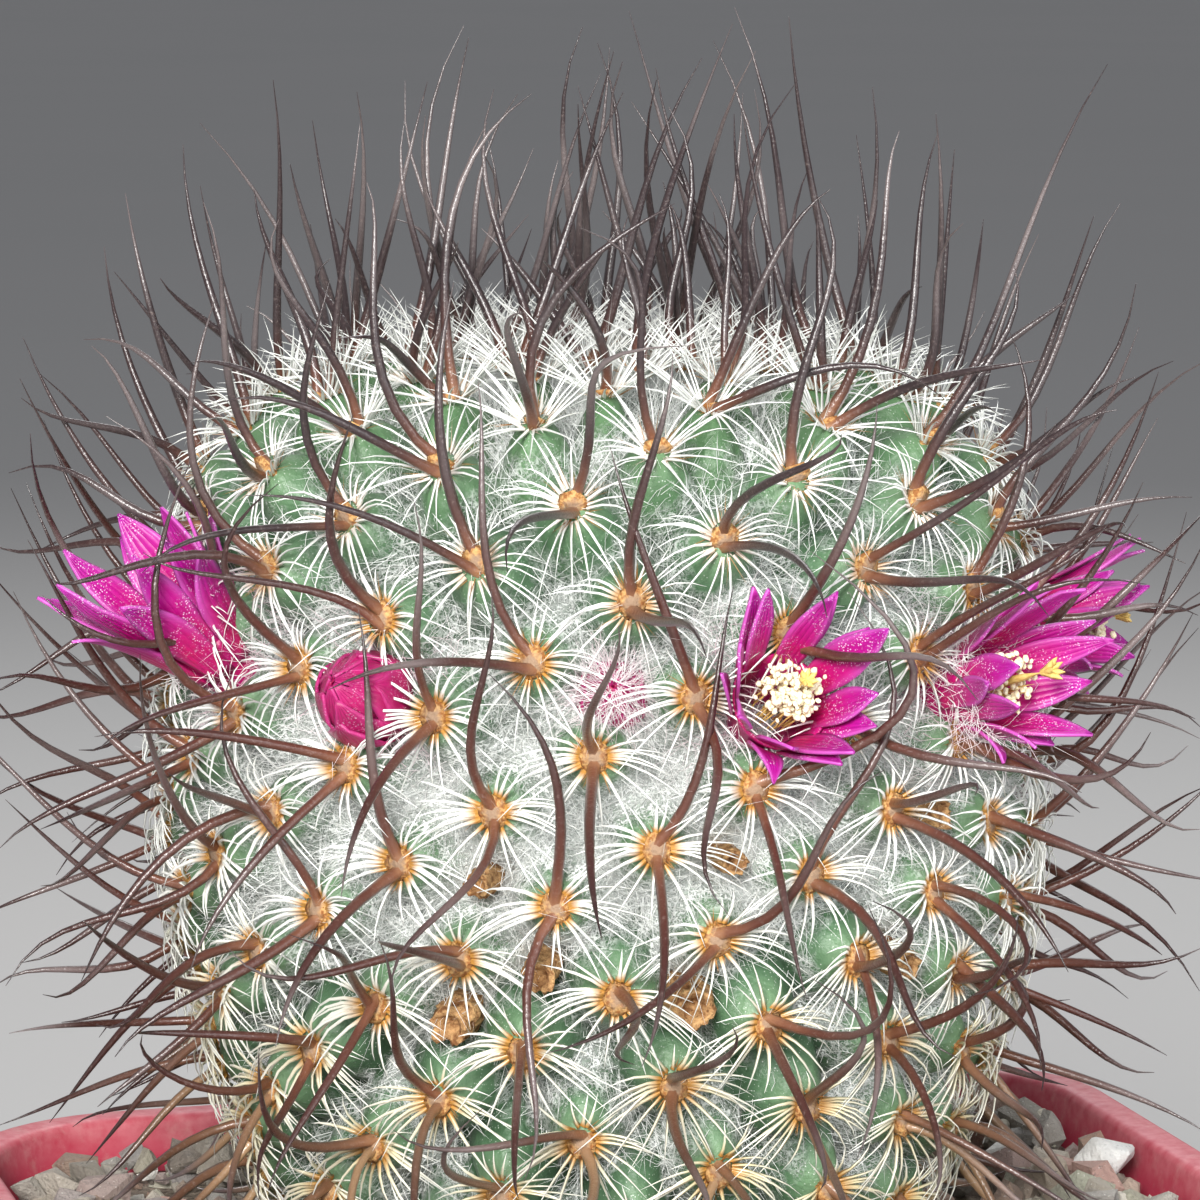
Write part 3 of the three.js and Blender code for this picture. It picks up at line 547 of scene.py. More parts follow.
class GrowthTree(Nodes):
    """One geometry node tree with named inputs."""

    def __init__(self, name: str) -> None:
        """Starts the tree with its geometry in and out.

        Args:
            name: The tree's name.
        """
        self.tree = bpy.data.node_groups.new(name, "GeometryNodeTree")
        self.keys: dict[str, str] = {}
        for way in ("INPUT", "OUTPUT"):
            self.tree.interface.new_socket("Geometry", in_out=way, socket_type="NodeSocketGeometry")
        self.entry = self.tree.nodes.new("NodeGroupInput")
        self.exit = self.tree.nodes.new("NodeGroupOutput")
        self.points = Output(self, self.entry.outputs[0])

    def add_input(self, name: str, kind: str) -> Output:
        """Adds a named input and returns it as it is inside the tree.

        Args:
            name: The input's name.
            kind: The type of its socket.

        Returns:
            The input inside the tree.
        """
        item = self.tree.interface.new_socket(name, in_out="INPUT", socket_type="NodeSocket" + kind)
        self.keys[name] = item.identifier
        return Output(self, next(s for s in self.entry.outputs if s.identifier == item.identifier))

    def stored(self, name: str, kind: str = "FLOAT") -> Output:
        """Reads a stored attribute."""
        return self.node("GeometryNodeInputNamedAttribute", {"Name": name}, "Attribute", data_type=kind)

    def vector(self, name: str, factor: Output | None = None) -> Output:
        """Reads a stored vector, times a number if one is given.

        Args:
            name: The attribute's name.
            factor: The number.

        Returns:
            The vector.
        """
        vector = self.stored(name, "FLOAT_VECTOR")
        if factor is None:
            return vector
        return self.node("ShaderNodeVectorMath", {0: vector, "Scale": factor}, operation="SCALE")

    def keep(self, geometry: Output, name: str, value: Output, kind: str = "FLOAT") -> Output:
        """Stores a value on the points of the geometry.

        Args:
            geometry: The geometry.
            name: The attribute's name.
            value: The value.
            kind: Its type.

        Returns:
            The geometry with the value on it.
        """
        made = self.node("GeometryNodeStoreNamedAttribute", data_type=kind, domain="POINT")
        for key, plugged in (("Geometry", geometry), ("Name", name), ("Value", value)):
            self.plug(next(s for s in made.socket.node.inputs if s.name == key and s.enabled), plugged)
        return made

    def close(self, geometry: Output, material: Output) -> "GrowthTree":
        """Ends the tree: instances made real, then the material.

        Args:
            geometry: What has been grown.
            material: Its material.

        Returns:
            The tree.
        """
        real = self.node("GeometryNodeRealizeInstances", {"Geometry": geometry})
        painted = self.node("GeometryNodeSetMaterial", {"Geometry": real, "Material": material})
        self.plug(self.exit.inputs[0], painted)
        return self

    def run(self, points: Piece, name: str, values: dict[str, object], kept: Iterable[str]) -> Piece:
        """Grows a piece from an object's points.

        Args:
            points: The object with the points, which is used up.
            name: The piece's name.
            values: The tree's inputs by name.
            kept: Attributes that the piece keeps.

        Returns:
            The piece as a plain mesh.
        """
        modifier = points.modifiers.new(name, "NODES")
        modifier.node_group = self.tree
        for key, value in values.items():
            modifier[self.keys[key]] = value
        return finished(points, name, kept)


def make_hair_tree() -> GrowthTree:
    """A tapered hair on every point: it runs along reach, bends by curl and swings by sway.

    Returns:
        The tree, which reads reach, curl, sway and thick from the points and stores t along each hair.
    """
    grow = GrowthTree("tapered_hair")
    segments, sides = (grow.add_input(name, "Int") for name in ("Segments", "Sides"))
    names = "Taper", "Foot Swelling", "Foot Length"
    taper, swelling, foot_length = (grow.add_input(name, "Float") for name in names)
    material = grow.add_input("Material", "Material")
    rooted = grow.keep(grow.points, "base", grow.node("GeometryNodeInputPosition"), "FLOAT_VECTOR")
    line = grow.node("GeometryNodeCurvePrimitiveLine", {"End": (0.0, 0.0, MM)})
    line = grow.node("GeometryNodeResampleCurve", {"Curve": line, "Count": segments + 1})
    line = grow.keep(line, "t", grow.node("GeometryNodeSplineParameter", output="Factor"))
    hairs = grow.node("GeometryNodeInstanceOnPoints", {"Points": rooted, "Instance": line})
    hairs = grow.node("GeometryNodeRealizeInstances", {"Geometry": hairs})
    t = grow.stored("t")
    place = grow.vector("base")
    for way, share in (("reach", t), ("curl", t * t), ("sway", t * (1.0 - t) * (1.0 - t * 2.0))):
        place = grow.node("ShaderNodeVectorMath", {0: place, 1: grow.vector(way, share)}, operation="ADD")
    hairs = grow.node("GeometryNodeSetPosition", {"Geometry": hairs, "Position": place})
    slim = (1.0 - grow.math("POWER", t, taper)).at_least(0.06)
    foot = swelling * (1.0 - grow.math("DIVIDE", t, foot_length)).at_least(0.0)
    width = grow.stored("thick") * (slim * (foot + 1.0))
    profile = grow.node("GeometryNodeCurvePrimitiveCircle", {"Resolution": sides, "Radius": 0.5})
    skin = {"Curve": hairs, "Profile Curve": profile, "Scale": width, "Fill Caps": True}
    smooth = grow.node("GeometryNodeSetShadeSmooth", {"Geometry": grow.node("GeometryNodeCurveToMesh", skin)})
    return grow.close(smooth, material)


def make_scatter_tree() -> GrowthTree:
    """A copy of one of a collection's shapes on every point.

    Returns:
        The tree, which reads turn, size and kind from the points.
    """
    tree = GrowthTree("scattered_shapes")
    shapes = tree.add_input("Shapes", "Collection")
    material = tree.add_input("Material", "Material")
    parts = {"Collection": shapes, "Separate Children": True, "Reset Children": True}
    source = tree.node("GeometryNodeCollectionInfo", parts)
    turn = tree.node("FunctionNodeEulerToRotation", {0: tree.vector("turn")})
    copies = tree.node("GeometryNodeInstanceOnPoints", {
        "Points": tree.points, "Instance": source, "Pick Instance": True,
        "Instance Index": tree.stored("kind", "INT"), "Rotation": turn, "Scale": tree.vector("size"),
    })
    return tree.close(copies, material)


def scatter(tree: GrowthTree, name: str, shapes: Sequence[Piece], material: Material,
            kept: Iterable[str], places: Array, **stored: Array) -> Piece:
    """Puts a copy of one of some shapes on every place.

    Args:
        tree: The scatter tree.
        name: The piece's name.
        shapes: The shapes, in the order of their names, which are used up.
        material: The piece's material.
        kept: Attributes that the material reads.
        places: The places, in millimetres.
        stored: Turn and size of each copy, and others by name; kind is the shape's number.

    Returns:
        The piece.
    """
    collection = bpy.data.collections.new(name + "_shapes")
    for shape in shapes:
        collection.objects.link(shape)
    points = mesh_object(name + "_places", places)
    for key, values in {"kind": np.zeros(len(places), int), **stored}.items():
        store(points.data, key, values)
    made = tree.run(points, name, {"Shapes": collection, "Material": material}, kept)
    for shape in shapes:
        bpy.data.objects.remove(shape)
    bpy.data.collections.remove(collection)
    return made


class Hairs:
    """A set of hairs before they are grown, in millimetres."""

    def __init__(self) -> None:
        """Starts an empty set."""
        self.rows: list[tuple[Array, ...]] = []

    def add(self, base: Array, reach: Array, curl: Array | float, sway: Array | float,
            thick: Array | float, tone: Array | float) -> None:
        """Adds hairs: where they start, how they reach, curl and sway, and their thickness and tone."""
        vectors = (np.broadcast_to(v, (len(base), 3)) for v in (base, reach, curl, sway))
        self.rows.append((*vectors, *(np.broadcast_to(v, len(base)) for v in (thick, tone))))

    def grow(self, name: str, tree: GrowthTree, material: Material, segments: int, sides: int,
             taper: float, swelling: float = 0.0, foot_length: float = 0.1) -> Piece:
        """Grows the hairs as one piece.

        Args:
            name: The piece's name.
            tree: The hair tree.
            material: Its finish.
            segments: Straight stretches along each hair.
            sides: Sides round each hair.
            taper: Power of the taper: higher keeps the hair thick for longer.
            swelling: How much thicker the foot is, as a share.
            foot_length: The share of the length that is swollen.

        Returns:
            The piece, with t and tone stored on it.
        """
        base, *measures, tone = (np.concatenate(part) for part in zip(*self.rows))
        points = mesh_object(name + "_roots", base)
        for key, values in zip(("reach", "curl", "sway", "thick"), measures):
            store(points.data, key, values * MM)
        store(points.data, "tone", tone)
        values = {"Segments": segments, "Sides": sides, "Taper": taper, "Foot Swelling": swelling,
                  "Foot Length": foot_length, "Material": material}
        return tree.run(points, name, values, ("t", "tone"))


# Finishes: noises and cells have features a metre, and shares run from 0 to 1


@dataclass(frozen=True)
class SkinFinish:
    """Green skin with white flecks under woolly axils, painted darker in the grooves for shade and paler on
    the tubercles for a highlight.
    """

    # deep is painted shade for the grooves, and pale a painted highlight for the tubercles' tops.
    deep: Colour = (0.025, 0.062, 0.028)
    green: Colour = (0.080, 0.165, 0.085)
    pale: Colour = (0.150, 0.260, 0.140)
    young: Colour = (0.090, 0.185, 0.082)
    fleck: Colour = (0.75, 0.80, 0.74)
    wool: Colour = (0.84, 0.87, 0.85)
    fibres: tuple[float, ...] = (800, 1150, 1700, 2400, 3300)
    fibre_width: float = 0.034

    def build(self) -> Material:
        """Makes the material, which reads how raised, young and woolly each point is.

        Returns:
            The material.
        """
        shade = Shade("green_skin", 0.45, 0.4)
        lifted = shade.value("rise") + (shade.noise(260, 4) - 0.5) * 0.5
        flecks = shade.cells(4200).between(0.22, 0.12) * shade.noise(900, 1).between(0.42, 0.6)
        drift = shade.value("wool") + (shade.noise(420) - 0.5) * 0.9
        fibres = shade.web(self.fibres, self.fibre_width) * drift.between(0.12, 0.5)
        fluff = (drift.between(0.35, 1.0) * 0.78).at_least(fibres * 0.95)
        # Painted shade and highlight: the ramp along lifted darkens the skin into the grooves and lightens
        # the tubercles' tops.
        shade.set("Base Color", shade.coats(
            shade.ramp(lifted, ((0.0, self.deep), (0.45, self.green), (0.95, self.pale))),
            (shade.value("youth").between(0.35, 1.0), self.young),
            (flecks * 0.8, self.fleck),
            (fluff, self.wool),
        ))
        shade.set("Roughness", fluff.between(-0.7, 1.0))
        shade.relief(shade.noise(1500, 4) + fibres, 0.25, 0.8)
        return shade.material


@dataclass(frozen=True)
class SpineFinish:
    """Woody spines: tan where they leave the areole, then red-brown, then nearly black at the tip."""

    stops: tuple[tuple[float, Colour], ...] = (
        (0.0, (0.30, 0.15, 0.075)),
        (0.05, (0.17, 0.065, 0.034)),
        (0.16, (0.090, 0.029, 0.018)),
        (0.45, (0.052, 0.016, 0.012)),
        (1.0, (0.018, 0.010, 0.011)),
    )
    young: Colour = (0.032, 0.020, 0.021)
    # Grey patches on the spines: partly a frosted bloom, partly a painted sheen.
    bloom_and_sheen_grey: Colour = (0.26, 0.22, 0.215)
    straw: Colour = (0.38, 0.24, 0.13)
    dust: Colour = (0.42, 0.33, 0.30)

    def build(self) -> Material:
        """Makes the material: a tone of 1 is a young dark spine, and -1 is an old bleached one.

        Returns:
            The material.
        """
        shade = Shade("central_spine", 0.3, 0.7)
        t, tone = shade.value("t"), shade.value("tone")
        shade.set("Base Color", shade.coats(
            shade.ramp(t + (shade.noise(700) - 0.5) * 0.12, self.stops),
            (tone.between(0.0, 1.0) * t.between(0.02, 0.3), self.young),
            # Partly frosted bloom, partly painted sheen, in patches.
            (shade.noise(75, 1).between(0.48, 0.66) * t.between(0.2, 0.6) * 0.45, self.bloom_and_sheen_grey),
            (tone.between(-0.25, -1.0) * t.between(0.7, 0.12), self.straw),
            (shade.noise(3800, 4, 0.7).between(0.56, 0.75) * 0.3, self.dust),
        ))
        shade.relief(shade.noise(4200), 0.06, 0.8)
        return shade.material


@dataclass(frozen=True)
class BristleFinish:
    """Glassy white radial spines with an orange foot, creamier on old areoles."""

    foot: Colour = (0.46, 0.23, 0.05)
    cream: Colour = (0.62, 0.55, 0.33)
    white: Colour = (0.84, 0.86, 0.82)

    def build(self) -> Material:
        """Makes the material: a tone of 1 is an old spine, and -1 a young one without a coloured foot.

        Returns:
            The material.
        """
        shade = Shade("radial_spine", 0.3, 0.6)
        t, tone = shade.value("t"), shade.value("tone")
        shade.set("Base Color", shade.coats(
            self.white,
            (tone.between(0.0, 1.0) * t.between(1.0, 0.25), self.cream),
            (t.between(0.24, 0.05) * tone.between(-1.0, -0.3), self.foot),
        ))
        return shade.material


@dataclass(frozen=True)
class HairFinish:
    """Fine hairs whose own tone turns one colour into another, between a low and a high tone."""

    name: str
    first: Colour
    second: Colour
    low: float = 0.0
    high: float = 1.0
    roughness: float = 0.75
    specular: float = 0.2

    def build(self) -> Material:
        """Makes the material.

        Returns:
            The material.
        """
        shade = Shade(self.name, self.roughness, self.specular)
        tone = shade.value("tone").between(self.low, self.high)
        shade.set("Base Color", shade.coats(self.first, (tone, self.second)))
        return shade.material


@dataclass(frozen=True)
class CushionFinish:
    """Felted areole: orange-brown at its rim and greyish in its middle."""

    rim: Colour = (0.30, 0.12, 0.035)
    gold: Colour = (0.60, 0.36, 0.14)
    middle: Colour = (0.30, 0.20, 0.13)

    def build(self) -> Material:
        """Makes the material, which reads how near the rim each point is.

        Returns:
            The material.
        """
        shade = Shade("areole_felt", 0.8, 0.3)
        rim = shade.coats(self.rim, (shade.noise(3600).between(0.4, 0.62), self.gold))
        mottled = shade.value("rim") + (shade.noise(2000) - 0.5)
        shade.set("Base Color", shade.coats(self.middle, (mottled.between(0.35, 0.75), rim)))
        shade.relief(shade.noise(3000), 0.2)
        return shade.material


@dataclass(frozen=True)
class PetalFinish:
    """Satiny petals: magenta with paler edges, a crimson throat and a painted sparkle of glints."""

    name: str
    body: Colour = (0.42, 0.004, 0.22)
    edge: Colour = (0.52, 0.10, 0.44)
    throat: Colour = (0.44, 0.003, 0.092)
    tip: Colour = (0.40, 0.012, 0.34)
    deep: Colour = (0.34, 0.002, 0.15)
    # The frosted specks are painted glints of the petals' sparkle.
    painted_glints: Colour = (0.85, 0.72, 0.86)
    painted_glint_share: float = 0.8
    veins: float = 9.0

    def build(self) -> Material:
        """Makes the material, which reads how far along and how far across the petal each point is.

        Returns:
            The material.
        """
        shade = Shade(self.name, 0.42, 0.45)
        along, across = shade.value("t"), shade.value("across")
        veins = shade.math("ABSOLUTE", shade.math("SINE", across * self.veins))
        painted_glints = shade.cells(6000).between(0.36, 0.2) * shade.noise(620, 4).between(0.47, 0.6)
        shade.set("Base Color", shade.coats(
            shade.ramp(along, ((0.0, self.throat), (0.48, self.throat), (0.74, self.body), (1.0, self.tip))),
            (veins.between(0.35, 0.0) * 0.18, self.deep),
            (shade.noise(600).between(0.62, 0.35) * 0.55, self.deep),
            (across.between(0.5, 1.0) * along.between(0.35, 0.8) * 0.75, self.edge),
            # Painted glints: sparkling specks on the petals' outer part.
            (painted_glints * (along.between(0.25, 0.6) * self.painted_glint_share), self.painted_glints),
        ))
        shade.relief(shade.noise(2500) + veins, 0.06, 0.6)
        return shade.material


@dataclass(frozen=True)
class GrainFinish:
    """A granular finish, such as pollen, dried tissue or soil, between two colours."""

    name: str
    light: Colour
    dark: Colour
    grains: float
    depth: float
    roughness: float = 0.85

    def build(self) -> Material:
        """Makes the material.

        Returns:
            The material.
        """
        shade = Shade(self.name, self.roughness, 0.3)
        speck = shade.noise(self.grains, 4, 0.7)
        shade.set("Base Color", shade.coats(self.dark, (speck.between(0.38, 0.62), self.light)))
        shade.relief(speck, self.depth)
        return shade.material


@dataclass(frozen=True)
class StoneFinish:
    """Broken stones of several kinds, chosen by each stone's own tone."""

    kinds: tuple[tuple[float, Colour], ...] = (
        (0.0, (0.36, 0.24, 0.18)),
        (0.16, (0.22, 0.21, 0.18)),
        (0.30, (0.52, 0.47, 0.39)),
        (0.44, (0.31, 0.31, 0.30)),
        (0.58, (0.50, 0.30, 0.25)),
        (0.70, (0.38, 0.40, 0.31)),
        (0.84, (0.62, 0.57, 0.47)),
        (1.0, (0.86, 0.87, 0.84)),
    )
    clay: Colour = (0.22, 0.17, 0.14)
    speck: Colour = (0.12, 0.11, 0.11)
    glint: Colour = (0.85, 0.82, 0.76)

    def build(self) -> Material:
        """Makes the material.

        Returns:
            The material.
        """
        shade = Shade("broken_stone", 0.7, 0.35)
        stone = shade.ramp(shade.value("tone"), self.kinds)
        specks = shade.noise(2600, 2, 0.6).between(0.62, 0.70) * shade.noise(240, 1).between(0.42, 0.6)
        shade.set("Base Color", shade.coats(
            stone,
            (0.25, self.clay),
            (shade.noise(350, 4).between(0.35, 0.7), stone),
            (specks * 0.65, self.speck),
            (shade.noise(3100, 2, 0.6).between(0.66, 0.74) * 0.6, self.glint),
        ))
        shade.relief(shade.noise(900, 6, 0.7), 0.8)
        return shade.material


@dataclass(frozen=True)
class PlasticFinish:
    """Faded raspberry plastic, dusty, scuffed along its edges with a painted highlight there, and painted
    shade on the inner wall.
    """

    body: Colour = (0.42, 0.050, 0.075)
    faded: Colour = (0.47, 0.095, 0.11)
    # The inner wall's colour is painted shade: slightly darker and deeper crimson than the body.
    inside: Colour = (0.42, 0.035, 0.070)
    dust: Colour = (0.50, 0.38, 0.33)
    # The pale scuffed colour is partly wear, partly a painted highlight along the edges.
    edge_wear_and_highlight: Colour = (0.72, 0.34, 0.36)

    def build(self) -> Material:
        """Makes the material, which reads how much edge wear and painted highlight each point takes, and how
        far inside it is.

        Returns:
            The material.
        """
        shade = Shade("pot_plastic", 0.5, 0.45)
        shade.set("Base Color", shade.coats(
            self.body,
            (shade.noise(70, 4).between(0.35, 0.68), self.faded),
            # Painted shade on the inner wall.
            (shade.value("inside"), self.inside),
            (shade.noise(420, 6, 0.7).between(0.52, 0.75) * 0.35, self.dust),
            # Edges: partly scuffed wear, partly a painted highlight.
            (shade.value("edge") * shade.noise(900, 4).between(0.30, 0.62) * 0.28, self.edge_wear_and_highlight),
        ))
        shade.set("Roughness", shade.noise(600, 4).between(-0.9, 1.6))
        shade.relief(shade.noise(700), 0.03, 0.5)
        return shade.material


# The plant's spiral


@dataclass(frozen=True)
class Places:
    """Points on the stem with the directions of its surface there."""

    point: Array
    out: Array
    down: Array
    side: Array

    def __getitem__(self, chosen: int | Array) -> "Places":
        """One or some of the points with their directions."""
        return Places(self.point[chosen], self.out[chosen], self.down[chosen], self.side[chosen])


@dataclass
class Spiral:
    """The stem's outline and the spiral of tubercles on it. Heights in it are fractions of the radius."""

    radius: float = 30.0
    centre: tuple[float, float, float] = (-4.0, 2.0, 109.8)
    dome: float = 1.042
    dome_power: float = 4.18
    foot: float = 1.18
    foot_narrowing: float = 0.38
    foot_power: float = 1.66
    root_depth: float = 1.62
    turn: float = math.radians(-16)
    golden_angle: float = math.radians(137.50776)
    first_bearing: float = -0.0127
    level_of_zero: float = 30.2
    tubercle_area: float = 0.06
    crowding_radius: float = 0.8
    left_row: int = 13
    right_row: int = 21
    top_tubercle: int = -98
    bottom_tubercle: int = 150
    axil_depth: float = 4.2
    tip_share: float = 0.26
    dome_steps: int = 500
    foot_steps: int = 300
    outline: tuple[Array, Array, Array] = field(init=False)

    def __post_init__(self) -> None:
        """Works out the outline: tubercle numbers, radii and heights from the top to the root."""
        angle = (np.pi / 2) * (1 - np.arange(self.dome_steps + 1) / self.dome_steps)
        r_dome = np.cos(angle) ** (2 / self.dome_power)
        r_dome[0] = 0.0
        z_dome = self.dome * np.sin(angle) ** (2 / self.dome_power)
        z_foot = -self.root_depth * np.arange(1, self.foot_steps + 1) / self.foot_steps
        r = np.concatenate([r_dome, self.stem_radius(z_foot)])
        z = np.concatenate([z_dome, z_foot])
        middle = (r[1:] + r[:-1]) / 2
        crowding = np.minimum(1, 0.35 + 0.65 * middle / self.crowding_radius)
        area = 2 * np.pi * middle * np.hypot(np.diff(r), np.diff(z))
        number = np.concatenate([[0], np.cumsum(area / (self.tubercle_area * crowding))])
        number -= number[self.dome_steps] - self.level_of_zero
        self.outline = number, r, z

    @property
    def youngest(self) -> int:
        """The first whole number at the growing point."""
        return math.ceil(self.outline[0][0]) + 2

    def turn_to(self, step: int) -> float:
        """The bearing from one tubercle to another, the short way round."""
        turn = step * self.golden_angle
        return turn - 2 * math.pi * round(turn / (2 * math.pi))

    def stem_radius(self, z: Array) -> Array:
        """The stem's radius at a height.

        Args:
            z: The height above the widest level, as a fraction of the radius.

        Returns:
            The radius, as a fraction of the widest one.
        """
        z = np.asarray(z, float)
        upper = np.maximum(0, 1 - (np.maximum(z, 0) / self.dome) ** self.dome_power) ** (1 / self.dome_power)
        lower = 1 - self.foot_narrowing * (np.maximum(-z, 0) / self.foot) ** self.foot_power
        return np.where(z >= 0, upper, lower)

    def on_stem(self, number: Array, bearing: Array, depth: Array | float = 0.0) -> Places:
        """Points of the stem's skin.

        Args:
            number: Their levels, as tubercle numbers.
            bearing: Their bearings round the stem.
            depth: How far they are sunk, in millimetres.

        Returns:
            The points, in millimetres, and the directions out, down and sideways there.
        """
        number = np.atleast_1d(np.asarray(number, float))
        bearing = np.broadcast_to(bearing, number.shape)
        numbers, rs, zs = self.outline
        i = np.clip(np.searchsorted(numbers, number), 1, len(numbers) - 1)
        t = np.clip((number - numbers[i - 1]) / (numbers[i] - numbers[i - 1]), 0, 1)
        dr, dz = rs[i] - rs[i - 1], zs[i] - zs[i - 1]
        r, z = rs[i - 1] + t * dr, zs[i - 1] + t * dz
        fall = unit(np.stack([dr, dz], -1))
        ring = np.stack([np.sin(bearing + self.turn), -np.cos(bearing + self.turn), np.zeros_like(r)], -1)
        down = ring * fall[:, :1] + UP * fall[:, 1:]
        out = -ring * fall[:, 1:] + UP * fall[:, :1]
        point = np.array(self.centre) + self.radius * (ring * r[:, None] + UP * z[:, None])
        point = point - out * np.broadcast_to(depth, r.shape)[:, None]
        return Places(point, out, down, np.cross(out, down))

    def bearing_of(self, number: Array) -> Array:
        """The bearing of a tubercle."""
        return self.first_bearing + np.asarray(number) * self.golden_angle

    def areoles(self, numbers: Array) -> Places:
        """The tips of some tubercles."""
        return self.on_stem(numbers, self.bearing_of(numbers))

    def skin(self, number: Array, p: Array, q: Array) -> tuple[Places, Array]:
        """Points on the tubercled skin.

        Args:
            number: The tubercle that each point belongs to.
            p: Place along the left-hand row, from -0.5 to 0.5 across the tubercle.
            q: Place along the right-hand row, likewise.

        Returns:
            The points, and how near the tubercle's edge each is.
        """
        edge = edge_nearness(p, q)
        slope = np.maximum(edge - self.tip_share, 0) / (1 - self.tip_share)
        level = number + self.left_row * p + self.right_row * q
        bearing = self.bearing_of(number) + self.turn_to(self.left_row) * p + self.turn_to(self.right_row) * q
        return self.on_stem(level, bearing, 0.85 * self.axil_depth * slope**1.15), edge

    def axil_above(self, number: int, depth: float) -> Places:
        """The pit above a tubercle.

        Args:
            number: The tubercle.
            depth: The pit's depth, in millimetres.

        Returns:
            The pit's bottom, with its directions.
        """
        turn = (self.turn_to(self.left_row) + self.turn_to(self.right_row)) / 2
        bearing = self.bearing_of(number) - turn
        return self.on_stem(number - (self.left_row + self.right_row) / 2, bearing, depth)[0]

    def height(self, places: Places) -> Array:
        """Heights above the widest level, as fractions of the radius."""
        return (places.point[:, 2] - self.centre[2]) / self.radius


# What stands in the axils


@dataclass(frozen=True)
class Stand:
    """Something turned round an axis that stands in an axil: its profile is its radius at each distance."""

    name: str
    above: int
    foot: Array
    axis: Array
    profile: Profile

    @property
    def length(self) -> float:
        """How long it is."""
        return self.profile[-1][0]

    def radius(self, along: Array) -> Array:
        """The radius at a distance along the axis."""
        return np.interp(along, *np.array(self.profile).T)

    def outward(self, turn: Array) -> Array:
        """The direction away from the axis at a turn round it.

        Args:
            turn: The turn, in radians.

        Returns:
            A unit vector for each turn.
        """
        across = unit(np.cross(self.axis, UP))
        turn = np.asarray(turn)[..., None]
        return np.cos(turn) * across + np.sin(turn) * np.cross(across, self.axis)

    def points(self, along: Array, radius: Array, turn: Array) -> Array:
        """Points at a distance along the axis, a distance from it and a turn round it."""
        along, radius, turn = np.broadcast_arrays(along, radius, turn)
        return self.foot + along[..., None] * self.axis + radius[..., None] * self.outward(turn)

    def measure(self, points: Array) -> tuple[Array, Array]:
        """How far along the axis points lie, and their offsets from it.

        Args:
            points: The points.

        Returns:
            The distances along the axis and the offsets.
        """
        offset = points - self.foot
        along = offset @ self.axis
        return along, offset - along[:, None] * self.axis


@dataclass(frozen=True)
class Place:
    """A place to stand: its tubercle, size, drop below the axil's middle, rise in degrees and spread."""

    above: int
    size: float
    drop: float = 2.0
    rise: float = 19.0
    spread: float = 1.0


@dataclass(frozen=True)
class Blooming:
    """Where the flowers, buds and dried remains stand, each above the tubercle with its number."""

    spiral: Spiral
    open_flowers: tuple[Place, ...] = (
        Place(8, 1.0, rise=24),
        Place(3, 1.0, drop=3.0, rise=14),
        Place(10, 1.1, drop=1.2, rise=44, spread=0.9),
        Place(-2, 0.95, rise=6, spread=0.55),
        Place(1, 1.0, rise=22, spread=0.95),
        Place(-1, 1.0, rise=28),
    )
    closed_buds: tuple[Place, ...] = (
        Place(5, 1.0),
        Place(0, 0.55),
        Place(6, 0.85),
        Place(4, 1.0),
        Place(9, 0.6),
    )
    dried_remains: tuple[tuple[int, float], ...] = (
        (42, 0.6), (47, 0.6), (68, 0.75), (76, 1.0), (81, 0.9), (37, 0.7), (71, 0.7))
    flower_length: float = 13.0
    bud_profile: Profile = ((0, 1.3), (4.6, 3.0), (7, 2.3), (9.2, 0.35))
    dried_profile: Profile = ((0, 1.2), (3.6, 1.9), (4.9, 1.3))
    sunk: float = 0.8

    def stand(self, name: str, place: Place, profile: Profile) -> Stand:
        """Stands something with a profile in the axil above a tubercle.

        Args:
            name: Its name.
            place: Where it stands.
            profile: Its profile.

        Returns:
            The stand.
        """
        axil = self.spiral.axil_above(place.above, self.spiral.axil_depth + self.sunk)
        rise = math.radians(place.rise)
        axis = unit(axil.out * math.cos(rise) - axil.down * math.sin(rise))
        return Stand(name, place.above, axil.point + place.drop * axil.down, axis, profile)

    def flowers(self) -> list[Stand]:
        """The open flowers, as funnels.

        Returns:
            Their stands.
        """
        made = []
        for i, place in enumerate(self.open_flowers, 1):
            end = self.flower_length * place.size
            throat = end * 0.75, 3.0 + 1.5 * place.spread
            mouth = end, 3.0 + 2.6 * place.spread
            made.append(self.stand(f"flower_{i}", place, ((0, 1.5), (5.5, 3.0), throat, mouth)))
        return made

    def buds(self) -> list[Stand]:
        """The buds: a smaller one is slimmer too.

        Returns:
            Their stands.
        """
        made = []
        for i, place in enumerate(self.closed_buds, 1):
            slim = 0.35 + 0.65 * place.size
            profile = tuple((along * place.size, radius * slim) for along, radius in self.bud_profile)
            made.append(self.stand(f"bud_{i}", place, profile))
        return made

    def remains(self) -> list[Stand]:
        """The dried remains: a smaller one is slimmer, but it still reaches the skin.

        Returns:
            Their stands.
        """
        made = []
        for i, (above, size) in enumerate(self.dried_remains, 1):
            profile = tuple((along, radius * size) for along, radius in self.dried_profile)
            made.append(self.stand(f"dried_flower_{i}", Place(above, size, drop=0.0, rise=0.0), profile))
        return made


def clear_of(stands: Sequence[Stand], points: Array, room: float) -> Array:
    """Moves points out of the room of everything that stands in the axils.

    Args:
        stands: The flowers, buds and dried remains.
        points: The points, in millimetres.
        room: The room round each stand.

    Returns:
        The points, moved where they were too near.
    """
    moved = points.copy()
    for stand in stands:
        along, away = stand.measure(moved)
        distance = np.linalg.norm(away, axis=1)
        needed = stand.radius(along) + room
        near = (along > -1) & (along < stand.length + room) & (distance < needed)
        moved[near] += (unit(away) * (needed - distance)[:, None])[near]
    return moved


# The pot and what fills it


